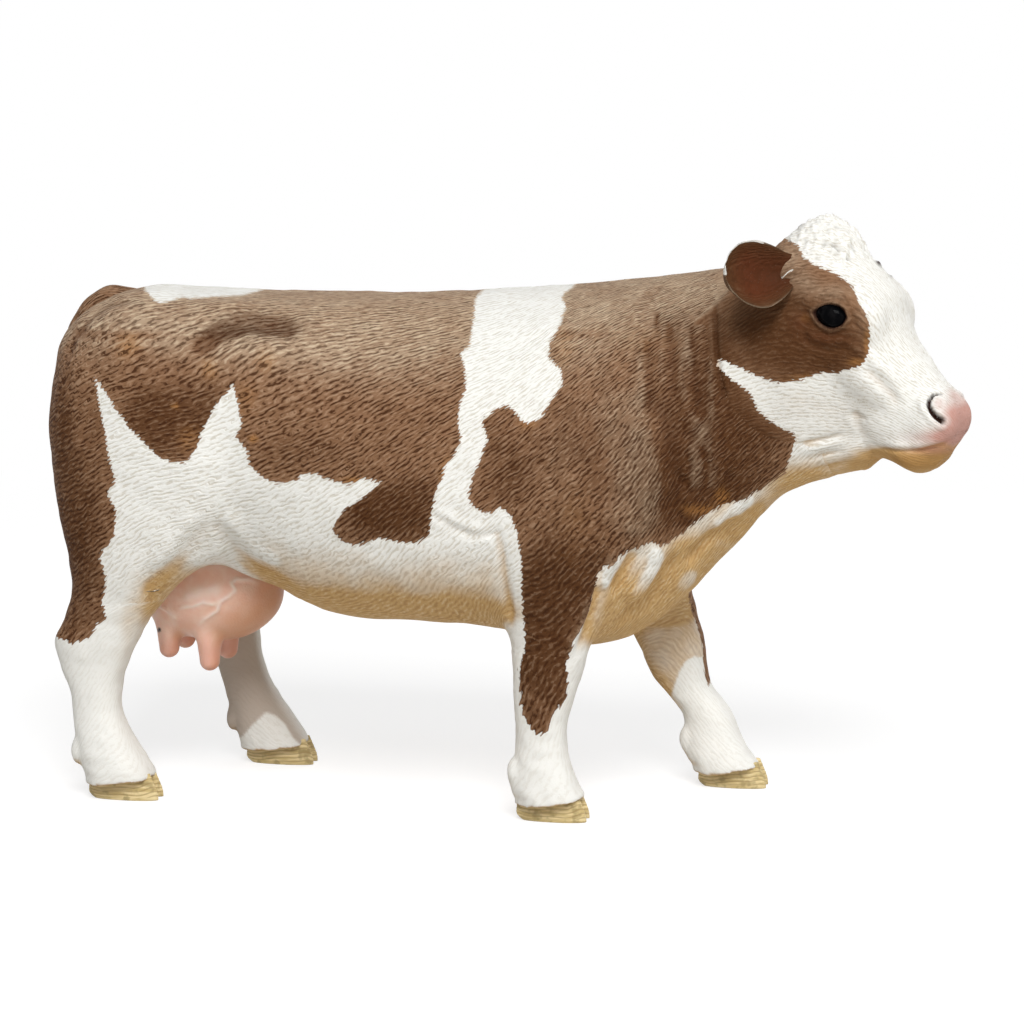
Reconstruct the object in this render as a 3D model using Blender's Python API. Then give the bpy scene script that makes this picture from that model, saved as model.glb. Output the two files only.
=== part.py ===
"""Toy cow figure, standing in a slow walk with its head turned a little to its right.

The figure is a set of solid soft-plastic mouldings that are glued together. The trunk carries
the neck, the shoulders, the thighs and four short leg stubs. The head seats in a saddle at the
end of the neck, the ears, the legs and the udder are held by pegs in sockets, and the tail lies
in a groove down the rump.

Metres, +Z up. +X is the way the cow faces, and its right side is at -Y. The origin is on the
ground, under the centre of the figure's box.
"""

import math

import bmesh
import bpy
import numpy as np
from mathutils import Matrix, Vector

# Driving dimensions of the trunk
TRUNK_LENGTH = 0.119
TRUNK_DEPTH = 0.049
TRUNK_WIDTH = 0.046
BELLY_HEIGHT = 0.0245

# Driving dimensions of the legs
FORELEG_LENGTH = 0.067
FORELEG_DEPTH = 0.0104
FORELEG_WIDTH = 0.0090
HINDLEG_LENGTH = 0.066
HINDLEG_DEPTH = 0.0108
HINDLEG_WIDTH = 0.0090
FORE_STRIDE = 0.0218
HIND_STRIDE = 0.0158
CLEFT_WIDTH = 0.0009
CLEFT_HEIGHT = 0.0030
DEWCLAW_RADIUS = 0.0012

# Driving dimensions of the head
HEAD_LENGTH = 0.0363
HEAD_DEPTH = 0.0252
HEAD_WIDTH = 0.0176
HEAD_YAW = math.radians(-15.0)
HEAD_PITCH = math.radians(45.0)
EYE_RADIUS = 0.0023
EYELID_THICKNESS = 0.0006
NOSTRIL_RADIUS = 0.0012
LIP_GROOVE = 0.0005
LIP_GROOVE_DEPTH = 0.0007

# Driving dimensions of the ears, the udder and the tail
EAR_LENGTH = 0.0125
EAR_WIDTH = 0.0094
EAR_WALL = 0.0011
UDDER_LENGTH = 0.0225
UDDER_WIDTH = 0.0172
UDDER_DEPTH = 0.0165
TEAT_LENGTH = 0.0046
TEAT_RADIUS = 0.0015
TAIL_ROOT_RADIUS = 0.0019

# Glue pegs, their sockets and the gap that the glue fills
GLUE_GAP = 0.0003
HEAD_PEG_RADIUS = 0.0042
HEAD_PEG_LENGTH = 0.0080
LEG_PEG_LENGTH = 0.0060
UDDER_PEG_RADIUS = 0.0035
UDDER_PEG_LENGTH = 0.0050
CUT_OVERRUN = 0.0020

# How finely the forms are drawn
TRUNK_RINGS, TRUNK_POINTS = 42, 36
HEAD_RINGS, HEAD_POINTS = 26, 28
LEG_RINGS, LEG_POINTS = 20, 18
STUB_RINGS = 12
PEG_POINTS = 16

# Trunk stations from rump to throat: along and sideways as shares of the length, then top,
# widest height and underside as shares of the depth above the belly line, the half width as a
# share of half the trunk's width, and the squareness of the upper and the lower half.
TRUNK_STATION_SHARES = (
    (0.025, 0.000, 0.735, 0.600, 0.430, 0.24, 2.0, 2.0),
    (0.037, 0.000, 0.832, 0.620, 0.320, 0.45, 2.1, 2.0),
    (0.056, 0.000, 0.892, 0.640, 0.215, 0.59, 2.3, 2.0),
    (0.088, 0.000, 0.941, 0.650, 0.130, 0.70, 2.5, 2.1),
    (0.126, 0.000, 0.968, 0.640, 0.150, 0.78, 2.6, 2.2),
    (0.193, 0.000, 0.967, 0.600, 0.180, 0.84, 2.6, 2.2),
    (0.277, 0.000, 0.963, 0.550, 0.125, 0.89, 2.5, 2.2),
    (0.370, 0.000, 0.965, 0.480, 0.033, 0.96, 2.3, 2.2),
    (0.471, 0.000, 0.967, 0.440, 0.020, 1.00, 2.2, 2.2),
    (0.563, 0.000, 0.982, 0.440, 0.008, 0.98, 2.2, 2.1),
    (0.639, 0.000, 0.996, 0.460, -0.030, 0.91, 2.1, 2.0),
    (0.689, 0.000, 1.008, 0.480, -0.035, 0.84, 2.0, 1.9),
    (0.731, 0.000, 1.020, 0.500, 0.000, 0.75, 2.0, 1.8),
    (0.765, -0.003, 1.031, 0.530, 0.066, 0.66, 2.0, 1.7),
    (0.798, -0.007, 1.041, 0.570, 0.140, 0.58, 2.0, 1.7),
    (0.832, -0.013, 1.055, 0.620, 0.230, 0.49, 2.0, 1.7),
    (0.866, -0.020, 1.063, 0.660, 0.322, 0.40, 2.0, 1.8),
    (0.899, -0.027, 1.060, 0.690, 0.414, 0.34, 2.0, 1.9),
    (0.933, -0.035, 1.035, 0.690, 0.458, 0.30, 2.0, 2.0),
    (0.966, -0.043, 0.960, 0.680, 0.482, 0.23, 2.0, 2.0),
    (0.996, -0.051, 0.760, 0.620, 0.510, 0.11, 2.0, 2.0),
)

# Muscles and hollows that show through the hide, alike on both sides: how far each reaches and
# rises as shares of the trunk's depth, then the line that it follows, along as a share of the
# trunk's length and level as a share of its depth above the belly line.
HIDE_FORM_SHARES = (
    (0.125, 0.023, (0.045, 0.770), (0.150, 0.760), (0.205, 0.650), (0.245, 0.480)),
    (0.140, 0.025, (0.697, 0.765), (0.716, 0.460), (0.668, 0.260)),
    (0.055, -0.017, (0.228, 0.800), (0.255, 0.870), (0.300, 0.905), (0.365, 0.885)),
    (0.050, -0.015, (0.267, 0.411), (0.222, 0.243), (0.162, 0.090)),
    (0.045, -0.012, (0.255, 0.360), (0.305, 0.213), (0.363, 0.167)),
    (0.055, -0.012, (0.771, 0.770), (0.802, 0.500), (0.793, 0.350)),
)

# Distances between the legs of a pair, as shares of the trunk's width
FORE_TRACK_SHARE = 0.535
HIND_TRACK_SHARE = 0.5565

# Foreleg stations from the sole to the shoulder blade: height as a share of the leg's length,
# place along the trunk as a share of its length, half lengths and half widths as shares of half
# the hoof's depth and width, and the distance from the middle as a share of half the track.
FORELEG_STATION_SHARES = (
    (0.000, 0.6487, 0.98, 0.98, 1.00),
    (0.022, 0.6479, 1.00, 1.00, 1.00),
    (0.045, 0.6454, 0.90, 0.96, 1.00),
    (0.064, 0.6403, 0.90, 0.96, 1.00),
    (0.104, 0.6370, 0.79, 0.87, 1.00),
    (0.149, 0.6345, 0.70, 0.78, 1.00),
    (0.201, 0.6345, 0.69, 0.76, 1.00),
    (0.261, 0.6378, 0.82, 0.87, 1.00),
    (0.313, 0.6420, 0.93, 0.93, 1.00),
    (0.388, 0.6462, 1.08, 1.04, 1.01),
    (0.463, 0.6521, 1.21, 1.20, 1.02),
    (0.552, 0.6571, 1.50, 1.42, 1.00),
    (0.657, 0.6622, 1.96, 1.69, 0.94),
    (0.776, 0.6597, 2.02, 1.78, 0.90),
    (0.896, 0.6513, 1.63, 1.56, 0.77),
    (1.000, 0.6429, 0.96, 1.00, 0.57),
)

# Hind leg stations from the sole over the hock to the hip, in the same terms
HINDLEG_STATION_SHARES = (
    (0.000, 0.1261, 0.98, 0.96, 1.00),
    (0.023, 0.1236, 1.00, 1.00, 1.00),
    (0.048, 0.1185, 0.92, 0.96, 1.00),
    (0.068, 0.1143, 0.91, 0.98, 1.00),
    (0.120, 0.1017, 0.80, 0.89, 1.00),
    (0.174, 0.0933, 0.67, 0.78, 1.00),
    (0.236, 0.0899, 0.67, 0.76, 1.00),
    (0.295, 0.0883, 0.92, 0.84, 1.00),
    (0.339, 0.0910, 1.10, 0.96, 1.00),
    (0.394, 0.1062, 1.14, 1.07, 0.98),
    (0.455, 0.1252, 1.33, 1.29, 0.97),
    (0.530, 0.1470, 1.87, 1.60, 0.97),
    (0.621, 0.1650, 2.50, 1.82, 0.97),
    (0.727, 0.1705, 2.70, 1.93, 0.94),
    (0.833, 0.1615, 2.50, 1.82, 0.90),
    (0.924, 0.1529, 1.96, 1.56, 0.82),
    (1.000, 0.1462, 1.20, 1.11, 0.74),
)

# How far a leg that steps forward is swung: share of the leg's length, then of the stride
FORE_SWING_SHARES = (
    (0.000, 1.00),
    (0.080, 0.94),
    (0.160, 0.89),
    (0.224, 0.73),
    (0.310, 0.61),
    (0.403, 0.46),
    (0.522, 0.28),
    (0.657, 0.14),
    (0.821, 0.00),
    (1.000, 0.00),
)
HIND_SWING_SHARES = (
    (0.000, 1.00),
    (0.120, 0.96),
    (0.227, 0.87),
    (0.333, 0.66),
    (0.455, 0.34),
    (0.606, 0.12),
    (0.758, 0.00),
    (1.000, 0.00),
)
LEG_SQUARENESS = 2.3
ROUND = 2.0
FORELEG_SEAM_SHARE = 0.340
HINDLEG_SEAM_SHARE = 0.424
LEG_PEG_SHARE = 0.58
CLEFT_REACH_SHARE = 1.3
DEWCLAW_HEIGHT_SHARE = 0.104
DEWCLAW_SPREAD_SHARE = 0.40
DEWCLAW_BACK_SHARE = 0.86
DEWCLAW_STRETCH_SHARE = 1.35

# Head stations from the poll to the muzzle: along as a share of the length, face line, widest
# level and jaw line as shares of the depth above the head's axis, the half width as a share of
# half the head's width, and the squareness towards the face and towards the jaw.
HEAD_STATION_SHARES = (
    (0.000, 0.330, 0.040, -0.170, 0.48, 2.0, 2.0),
    (0.028, 0.405, 0.060, -0.310, 0.68, 2.0, 2.2),
    (0.076, 0.442, 0.080, -0.430, 0.81, 2.0, 2.3),
    (0.152, 0.456, 0.100, -0.505, 0.91, 2.0, 2.3),
    (0.245, 0.424, 0.120, -0.525, 0.97, 1.8, 2.2),
    (0.343, 0.420, 0.140, -0.515, 1.00, 1.9, 2.0),
    (0.441, 0.406, 0.150, -0.485, 0.95, 2.1, 1.9),
    (0.515, 0.352, 0.130, -0.460, 0.86, 2.1, 1.8),
    (0.600, 0.306, 0.080, -0.425, 0.74, 2.1, 1.9),
    (0.686, 0.292, 0.040, -0.350, 0.66, 2.2, 2.0),
    (0.775, 0.274, 0.020, -0.300, 0.64, 2.3, 2.1),
    (0.863, 0.262, 0.000, -0.236, 0.67, 2.4, 2.1),
    (0.926, 0.212, -0.020, -0.170, 0.62, 2.2, 2.1),
    (0.971, 0.120, -0.030, -0.125, 0.46, 2.0, 2.1),
    (1.000, 0.030, -0.030, -0.075, 0.26, 2.0, 2.0),
)
HEAD_ALONG_SHARE = 0.8866
HEAD_SIDE_SHARE = -0.0252
HEAD_UP_SHARE = 1.082
CHEEK_ALONG_SHARE = 0.304
CHEEK_LEVEL_SHARE = -0.265
CHEEK_REACH_SHARE = 0.294
CHEEK_SPREAD_SHARE = 1.02
HEAD_PEG_START_SHARE = 0.157
HEAD_PEG_LEVEL_SHARE = -0.24
EYE_ALONG_SHARE = 0.392
EYE_LEVEL_SHARE = 0.190
EYE_OUT_SHARE = 0.84
NOSTRIL_ALONG_SHARE = 0.882
NOSTRIL_LEVEL_SHARE = 0.190
NOSTRIL_OUT_SHARE = 0.56
EYELID_FORM_SHARES = (1.15, 0.75, 0.90)
EYEBALL_FORM_SHARES = (1.00, 1.00, 0.80)
NOSTRIL_FORM_SHARES = (1.10, 1.00, 0.75)
MOUTH_FRONT_SHARES = (0.975, 0.020)
MOUTH_CORNER_SHARES = (0.745, -0.185)

# Ear: where it leaves the head, how it points, and its stations from the end of its peg to its
# tip: along as a share of its length, half width and cup depth as shares of its width, and the
# thickness as a share of its wall.
EAR_ALONG_SHARE = 0.142
EAR_LEVEL_SHARE = 0.185
EAR_OUT_SHARE = 0.66
EAR_SWEEP = math.radians(32.0)
EAR_LIFT = math.radians(-4.0)
EAR_ROLL = math.radians(22.0)
EAR_OUTLINE_SHARES = (
    (-0.26, 0.30, 0.00, 2.30),
    (-0.10, 0.31, 0.00, 2.30),
    (0.04, 0.36, 0.04, 2.10),
    (0.16, 0.50, 0.14, 1.50),
    (0.34, 0.80, 0.28, 1.05),
    (0.56, 1.00, 0.30, 0.95),
    (0.76, 0.90, 0.24, 0.90),
    (0.92, 0.56, 0.13, 0.85),
    (1.00, 0.16, 0.03, 0.60),
)
EAR_RINGS, EAR_POINTS = 16, 16

# Udder: centre along the trunk, its height as a share of the belly height, and the four teats
UDDER_ALONG_SHARE = 0.1975
UDDER_HEIGHT_SHARE = 1.19
UDDER_FALL_SHARE = 0.10
TEAT_PLACE_SHARES = ((-0.21, 0.44), (0.07, 0.52), (-0.21, -0.44), (0.07, -0.52))
TEAT_SINK_SHARE = 0.60
TEAT_ROOT_SHARE = 1.15
UDDER_POINTS = 24

# Tail: path down the middle of the rump as shares of the trunk's length and of its depth above
# the belly line, with its thickness as a share of the root's radius.
TAIL_PATH_SHARES = (
    (0.118, 0.930, 0.80),
    (0.078, 0.930, 1.00),
    (0.046, 0.860, 0.90),
    (0.030, 0.745, 0.78),
    (0.026, 0.600, 0.70),
    (0.030, 0.440, 0.66),
    (0.037, 0.290, 0.66),
    (0.041, 0.170, 0.90),
    (0.042, 0.080, 0.95),
    (0.042, 0.005, 0.62),
    (0.042, -0.045, 0.20),
)
TAIL_RINGS, TAIL_POINTS = 26, 10


def between(stations, at):
    """Values of a station table at the places in at, on a smooth cubic through its rows."""
    table = np.array(stations, float)
    place, values = table[:, 0], table[:, 1:]
    slopes = np.gradient(values, place, axis=0)
    row = np.clip(np.searchsorted(place, at, side="right") - 1, 0, len(place) - 2)
    step = (place[row + 1] - place[row])[:, None]
    t = ((at - place[row])[:, None]) / step
    start, end = values[row], values[row + 1]
    rise = start * (1 + 2 * t) * (1 - t) ** 2 + end * t * t * (3 - 2 * t)
    lean = slopes[row] * step * t * (1 - t) ** 2 - slopes[row + 1] * step * t * t * (1 - t)
    return rise + lean


def rings_of(along, sideways, top, widest, bottom, half_width, upper, lower, points):
    """Closed rings across an axis, one a station: each is a superellipse whose upper half
    reaches from the widest level to the top and whose lower half reaches to the bottom."""
    turn = np.arange(points) * 2 * math.pi / points
    across, rise = np.cos(turn), np.sin(turn)
    is_upper = rise >= 0
    power = np.where(is_upper, 2 / upper[:, None], 2 / lower[:, None])
    reach = np.where(is_upper, (top - widest)[:, None], (widest - bottom)[:, None])
    a = sideways[:, None] + half_width[:, None] * np.sign(across) * np.abs(across) ** power
    b = widest[:, None] + reach * np.sign(rise) * np.abs(rise) ** power
    return np.stack((np.broadcast_to(along[:, None], a.shape), a, b), axis=-1)


def closed_skin(name, rings):
    """An object whose mesh joins neighbouring rings with quads and caps the first and last."""
    count, points = rings.shape[:2]
    mesh = bmesh.new()
    verts = [[mesh.verts.new(p) for p in ring] for ring in rings]
    for i in range(count - 1):
        for j in range(points):
            k = (j + 1) % points
            mesh.faces.new((verts[i][j], verts[i][k], verts[i + 1][k], verts[i + 1][j]))
    mesh.faces.new(verts[0])
    mesh.faces.new(verts[-1])
    bmesh.ops.recalc_face_normals(mesh, faces=mesh.faces)
    data = bpy.data.meshes.new(name)
    mesh.to_mesh(data)
    mesh.free()
    made = bpy.data.objects.new(name, data)
    bpy.context.scene.collection.objects.link(made)
    return made


def ellipsoid(name, place, radii, turn=None, segments=16):
    """A sphere with three radii, turned by a rotation matrix and put at its place."""
    mesh = bmesh.new()
    bmesh.ops.create_uvsphere(mesh, u_segments=segments, v_segments=segments // 2, radius=1.0)
    spin = turn.to_4x4() if turn else Matrix.Identity(4)
    mesh.transform(Matrix.Translation(place) @ spin @ Matrix.Diagonal((*radii, 1.0)))
    data = bpy.data.meshes.new(name)
    mesh.to_mesh(data)
    mesh.free()
    made = bpy.data.objects.new(name, data)
    bpy.context.scene.collection.objects.link(made)
    return made


def round_bar(name, start, end, start_radius, end_radius, points=PEG_POINTS):
    """A round bar from start to end, with a radius at each end."""
    axis = Vector(end) - Vector(start)
    turn = axis.to_track_quat("X", "Z").to_matrix()
    spread = np.array([start_radius, end_radius])
    level = np.zeros(len(spread))
    rings = rings_of(
        np.array([0.0, axis.length]),
        level,
        level + spread,
        level,
        level - spread,
        spread,
        np.full(len(spread), ROUND),
        np.full(len(spread), ROUND),
        points,
    )
    bar = closed_skin(name, rings)
    bar.data.transform(Matrix.Translation(start) @ turn.to_4x4())
    return bar


def boolean(target, other, operation):
    """Joins other to target, or cuts it out of target, and removes other."""
    modifier = target.modifiers.new(operation.lower(), "BOOLEAN")
    modifier.operation = operation
    modifier.solver = "EXACT"
    modifier.object = other
    graph = bpy.context.evaluated_depsgraph_get()
    result = bpy.data.meshes.new_from_object(target.evaluated_get(graph))
    target.modifiers.remove(modifier)
    target.data = result
    bpy.data.objects.remove(other)


def fuse(target, other):
    boolean(target, other, "UNION")


def cut(target, other):
    boolean(target, other, "DIFFERENCE")


def spread_out(along, grow):
    """Places along an axis, stretched so that each end moves out by grow."""
    middle = (along[0] + along[-1]) / 2
    half = abs(along[-1] - along[0]) / 2
    return middle + (along - middle) * (half + grow) / half


# Trunk: barrel, rump, shoulders and neck, swept along X


def trunk_height(share):
    """Height above the ground of a level given as a share of the trunk's depth."""
    return BELLY_HEIGHT + share * TRUNK_DEPTH


def hide_rise(x, z):
    """How far the hide stands out at places along the trunk and above the ground: each form
    fades with the square of the distance from its line."""
    total = np.zeros(np.broadcast_shapes(x.shape, z.shape))
    for reach, rise, *line in HIDE_FORM_SHARES:
        nearest = np.full(total.shape, np.inf)
        corners = [(along * TRUNK_LENGTH, trunk_height(level)) for along, level in line]
        for (start_x, start_z), (end_x, end_z) in zip(corners, corners[1:]):
            run_x, run_z = end_x - start_x, end_z - start_z
            t = ((x - start_x) * run_x + (z - start_z) * run_z) / (run_x**2 + run_z**2)
            t = np.clip(t, 0, 1)
            away = np.hypot(x - start_x - t * run_x, z - start_z - t * run_z)
            nearest = np.minimum(nearest, away)
        total += rise * TRUNK_DEPTH * np.exp(-((nearest / (reach * TRUNK_DEPTH)) ** 2))
    return total


def trunk_skin():
    first, last = TRUNK_STATION_SHARES[0][0], TRUNK_STATION_SHARES[-1][0]
    # Rings crowd towards both rounded ends
    even = np.linspace(0, 1, TRUNK_RINGS)
    crowded = (1 - np.cos(even * math.pi)) / 2
    place = first + (last - first) * (even + crowded) / 2
    sideways, top, widest, bottom, width, upper, lower = between(TRUNK_STATION_SHARES, place).T
    rings = rings_of(
        place * TRUNK_LENGTH,
        sideways * TRUNK_LENGTH,
        trunk_height(top),
        trunk_height(widest),
        trunk_height(bottom),
        width * TRUNK_WIDTH / 2,
        upper,
        lower,
        TRUNK_POINTS,
    )
    # The flanks rise and sink sideways, and the back and the belly stay as they are
    across = (rings[..., 1] - sideways[:, None] * TRUNK_LENGTH) / (width * TRUNK_WIDTH / 2)[:, None]
    rings[..., 1] += across * hide_rise(rings[..., 0], rings[..., 2])
    return closed_skin("trunk", rings)


# Legs: one swept form from sole to hip or shoulder, parted at a seam under the trunk


class Leg:
    """The sizes of one leg. side is -1 on the cow's right and +1 on its left."""

    def __init__(self, name, fore, side, steps):
        self.name = name
        self.side = side
        self.length = FORELEG_LENGTH if fore else HINDLEG_LENGTH
        self.depth = FORELEG_DEPTH if fore else HINDLEG_DEPTH
        self.width = FORELEG_WIDTH if fore else HINDLEG_WIDTH
        self.track = (FORE_TRACK_SHARE if fore else HIND_TRACK_SHARE) * TRUNK_WIDTH
        self.stride = (FORE_STRIDE if fore else HIND_STRIDE) if steps else 0.0
        self.stations = FORELEG_STATION_SHARES if fore else HINDLEG_STATION_SHARES
        self.swing = FORE_SWING_SHARES if fore else HIND_SWING_SHARES
        self.seam = FORELEG_SEAM_SHARE if fore else HINDLEG_SEAM_SHARE

    def sizes(self, shares):
        """Centre along the trunk, centre sideways, half length and half width at each height."""
        along, half_length, half_width, spread = between(self.stations, shares).T
        swing = between(self.swing, shares)[:, 0]
        return (
            along * TRUNK_LENGTH + swing * self.stride,
            spread * self.side * self.track / 2,
            half_length * self.depth / 2,
            half_width * self.width / 2,
        )

    def level_rings(self, heights, x, y, half_length, half_width):
        """Superellipses that lie level at the heights, round the places x and y."""
        square = np.full(len(heights), LEG_SQUARENESS)
        rings = rings_of(
            heights, x, y + half_width, y, y - half_width, half_length, square, square, LEG_POINTS
        )
        return rings[..., [1, 2, 0]]

    def rings(self, shares, heights, grow=0.0):
        """Level rings at the heights, shaped as the leg is at the shares of its length."""
        x, y, half_length, half_width = self.sizes(shares)
        half_length = half_length + grow
        half_width = half_width + grow
        return self.level_rings(heights, x, y, half_length, half_width)

    def peg_rings(self, heights, grow=0.0):
        """Level rings as large as the peg, one at each height, which follow the leg's lean."""
        x, y, _, _ = self.sizes(np.clip(heights / self.length, self.seam, 1))
        _, _, half_length, half_width = self.sizes(np.full(len(heights), self.seam))
        half_length = half_length * LEG_PEG_SHARE + grow
        half_width = half_width * LEG_PEG_SHARE + grow
        return self.level_rings(heights, x, y, half_length, half_width)

    def lower_skin(self):
        """The glued-on leg: sole to seam, then the peg that goes up into the stub."""
        top = self.seam * self.length - GLUE_GAP / 2
        shares = np.linspace(0, top / self.length, LEG_RINGS)
        rings = self.rings(shares, shares * self.length)
        peg = self.peg_rings(np.array([top, top + LEG_PEG_LENGTH]))
        return closed_skin(self.name, np.concatenate((rings, peg)))

    def stub_skin(self):
        """The upper leg, which is part of the trunk moulding."""
        start = self.seam + GLUE_GAP / 2 / self.length
        shares = np.linspace(start, 1, STUB_RINGS)
        rings = self.rings(shares, shares * self.length)
        _, y, _, half_width = (v[:, None] for v in self.sizes(shares))
        outward = np.clip((rings[..., 1] - y) * self.side / half_width, 0, 1)
        rings[..., 1] += self.side * outward * hide_rise(rings[..., 0], rings[..., 2])
        return closed_skin(self.name + "_stub", rings)

    def socket(self):
        """The hole in the stub for the peg."""
        base = self.seam * self.length
        heights = np.array([base - CUT_OVERRUN, base, base + LEG_PEG_LENGTH + GLUE_GAP])
        return closed_skin(self.name + "_socket", self.peg_rings(heights, grow=GLUE_GAP))

    def clearance(self):
        """The lower leg, larger all round by the glue gap, for trimming what lies against it."""
        shares = np.linspace(0, self.seam, LEG_RINGS)
        heights = spread_out(shares * self.length, GLUE_GAP)
        return closed_skin(self.name + "_clearance", self.rings(shares, heights, grow=GLUE_GAP))

    def hoof_centre(self):
        x, y, half_length, half_width = (v[0] for v in self.sizes(np.array([0.0])))
        return x, y, half_length, half_width


def cleft_wedge(leg):
    """A wedge that parts the two claws, from the middle of the sole to past the toe."""
    x, y, half_length, _ = leg.hoof_centre()
    profile = ((-CLEFT_WIDTH / 2, -CUT_OVERRUN), (CLEFT_WIDTH / 2, -CUT_OVERRUN), (0.0, CLEFT_HEIGHT))
    ends = (x, x + half_length * CLEFT_REACH_SHARE)
    rings = np.array([[(end, y + across, up) for across, up in profile] for end in ends])
    return closed_skin("cleft", rings)


def dewclaw(leg, across):
    """One of the two small claws behind the pastern."""
    share = np.array([DEWCLAW_HEIGHT_SHARE])
    x, y, half_length, half_width = (v[0] for v in leg.sizes(share))
    place = (
        x - half_length * DEWCLAW_BACK_SHARE,
        y + across * half_width * DEWCLAW_SPREAD_SHARE,
        DEWCLAW_HEIGHT_SHARE * leg.length,
    )
    radii = (DEWCLAW_RADIUS, DEWCLAW_RADIUS, DEWCLAW_RADIUS * DEWCLAW_STRETCH_SHARE)
    return ellipsoid("dewclaw", place, radii, segments=10)


# Head: swept from the poll to the muzzle in a frame that is pitched down and turned to the right


def head_frame():
    """World place and rotation of the head: its X runs to the muzzle and its Z to the face."""
    place = Vector(
        (
            HEAD_ALONG_SHARE * TRUNK_LENGTH,
            HEAD_SIDE_SHARE * TRUNK_LENGTH,
            trunk_height(HEAD_UP_SHARE),
        )
    )
    turn = Matrix.Rotation(HEAD_YAW, 3, "Z") @ Matrix.Rotation(HEAD_PITCH, 3, "Y")
    return Matrix.Translation(place) @ turn.to_4x4()


def head_skin(name, grow=0.0):
    first, last = HEAD_STATION_SHARES[0][0], HEAD_STATION_SHARES[-1][0]
    crowded = (1 - np.cos(np.linspace(0, math.pi, HEAD_RINGS))) / 2
    place = first + (last - first) * crowded
    top, widest, bottom, width, upper, lower = between(HEAD_STATION_SHARES, place).T
    rings = rings_of(
        spread_out(place * HEAD_LENGTH, grow),
        np.zeros(HEAD_RINGS),
        top * HEAD_DEPTH + grow,
        widest * HEAD_DEPTH,
        bottom * HEAD_DEPTH - grow,
        width * HEAD_WIDTH / 2 + grow,
        upper,
        lower,
        HEAD_POINTS,
    )
    skin = closed_skin(name, rings)
    skin.data.transform(head_frame())
    return skin


def cheeks(grow=0.0):
    """The round muscles of both jaws, as one form across the head."""
    place = on_head(CHEEK_ALONG_SHARE, 0.0, CHEEK_LEVEL_SHARE)
    reach = CHEEK_REACH_SHARE * HEAD_LENGTH + grow
    spread = CHEEK_SPREAD_SHARE * HEAD_WIDTH / 2 + grow
    return ellipsoid("cheeks", place, (reach, spread, reach), head_turn(), segments=24)


def on_head(along_share, out, level_share):
    """World place of a point of the head: shares of its length and depth, and metres sideways."""
    return head_frame() @ Vector((along_share * HEAD_LENGTH, out, level_share * HEAD_DEPTH))


def head_turn():
    return head_frame().to_3x3()


def eye_forms(side):
    """The two lids as one flat pad, and the ball that stands out of it."""
    out = side * EYE_OUT_SHARE * HEAD_WIDTH / 2
    place = on_head(EYE_ALONG_SHARE, out, EYE_LEVEL_SHARE)
    lid = EYE_RADIUS + EYELID_THICKNESS
    turn = head_turn() @ Matrix.Rotation(-HEAD_PITCH, 3, "Y")
    pad = ellipsoid("eyelids", place, Vector(EYELID_FORM_SHARES) * lid, turn, segments=14)
    ball = ellipsoid("eyeball", place, Vector(EYEBALL_FORM_SHARES) * EYE_RADIUS, turn, segments=14)
    return pad, ball


def nostril(side):
    out = side * NOSTRIL_OUT_SHARE * HEAD_WIDTH / 2
    place = on_head(NOSTRIL_ALONG_SHARE, out, NOSTRIL_LEVEL_SHARE)
    radii = Vector(NOSTRIL_FORM_SHARES) * NOSTRIL_RADIUS
    return ellipsoid("nostril", place, radii, head_turn(), segments=10)


def lip_line():
    """A thin blade at the mouth, without the part that lies deeper in the muzzle than a groove."""
    front, corner = MOUTH_FRONT_SHARES, MOUTH_CORNER_SHARES
    start = Vector((corner[0] * HEAD_LENGTH, 0.0, corner[1] * HEAD_DEPTH))
    end = Vector((front[0] * HEAD_LENGTH, 0.0, front[1] * HEAD_DEPTH))
    run = (end - start).normalized()
    end = end + run * CUT_OVERRUN
    rise = Vector((-run.z, 0.0, run.x)) * LIP_GROOVE / 2
    side = Vector((0.0, HEAD_WIDTH / 2, 0.0))
    corners = (-side - rise, side - rise, side + rise, rise - side)
    rings = np.array([[p + corner for corner in corners] for p in (start, end)])
    blade = closed_skin("lip_line", rings)
    blade.data.transform(head_frame())
    cut(blade, head_skin("muzzle_core", grow=-LIP_GROOVE_DEPTH))
    return blade


def head_peg(grow):
    """The peg behind the head, which enters the end of the neck."""
    start = on_head(HEAD_PEG_START_SHARE, 0.0, HEAD_PEG_LEVEL_SHARE)
    away = Matrix.Rotation(HEAD_YAW, 3, "Z") @ Vector((-1.0, 0.0, 0.0))
    end = start + away * (HEAD_PEG_LENGTH + grow)
    return round_bar("head_peg", start, end, HEAD_PEG_RADIUS + grow, HEAD_PEG_RADIUS + grow)


# Ears: a leaf that is cupped across its width, on a round peg


def ear_frame(side):
    """World frame of an ear: X along it and out from the head, Y to its lower edge, Z out of
    its cup."""
    place = on_head(EAR_ALONG_SHARE, side * EAR_OUT_SHARE * HEAD_WIDTH / 2, EAR_LEVEL_SHARE)
    yaw = HEAD_YAW + side * (math.pi / 2 + EAR_SWEEP)
    out = Matrix.Rotation(yaw, 3, "Z") @ Matrix.Rotation(-EAR_LIFT, 3, "Y")
    cup = Matrix.Rotation(side * (math.pi / 2 - EAR_ROLL), 3, "X")
    return Matrix.Translation(place) @ (out @ cup).to_4x4()


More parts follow.
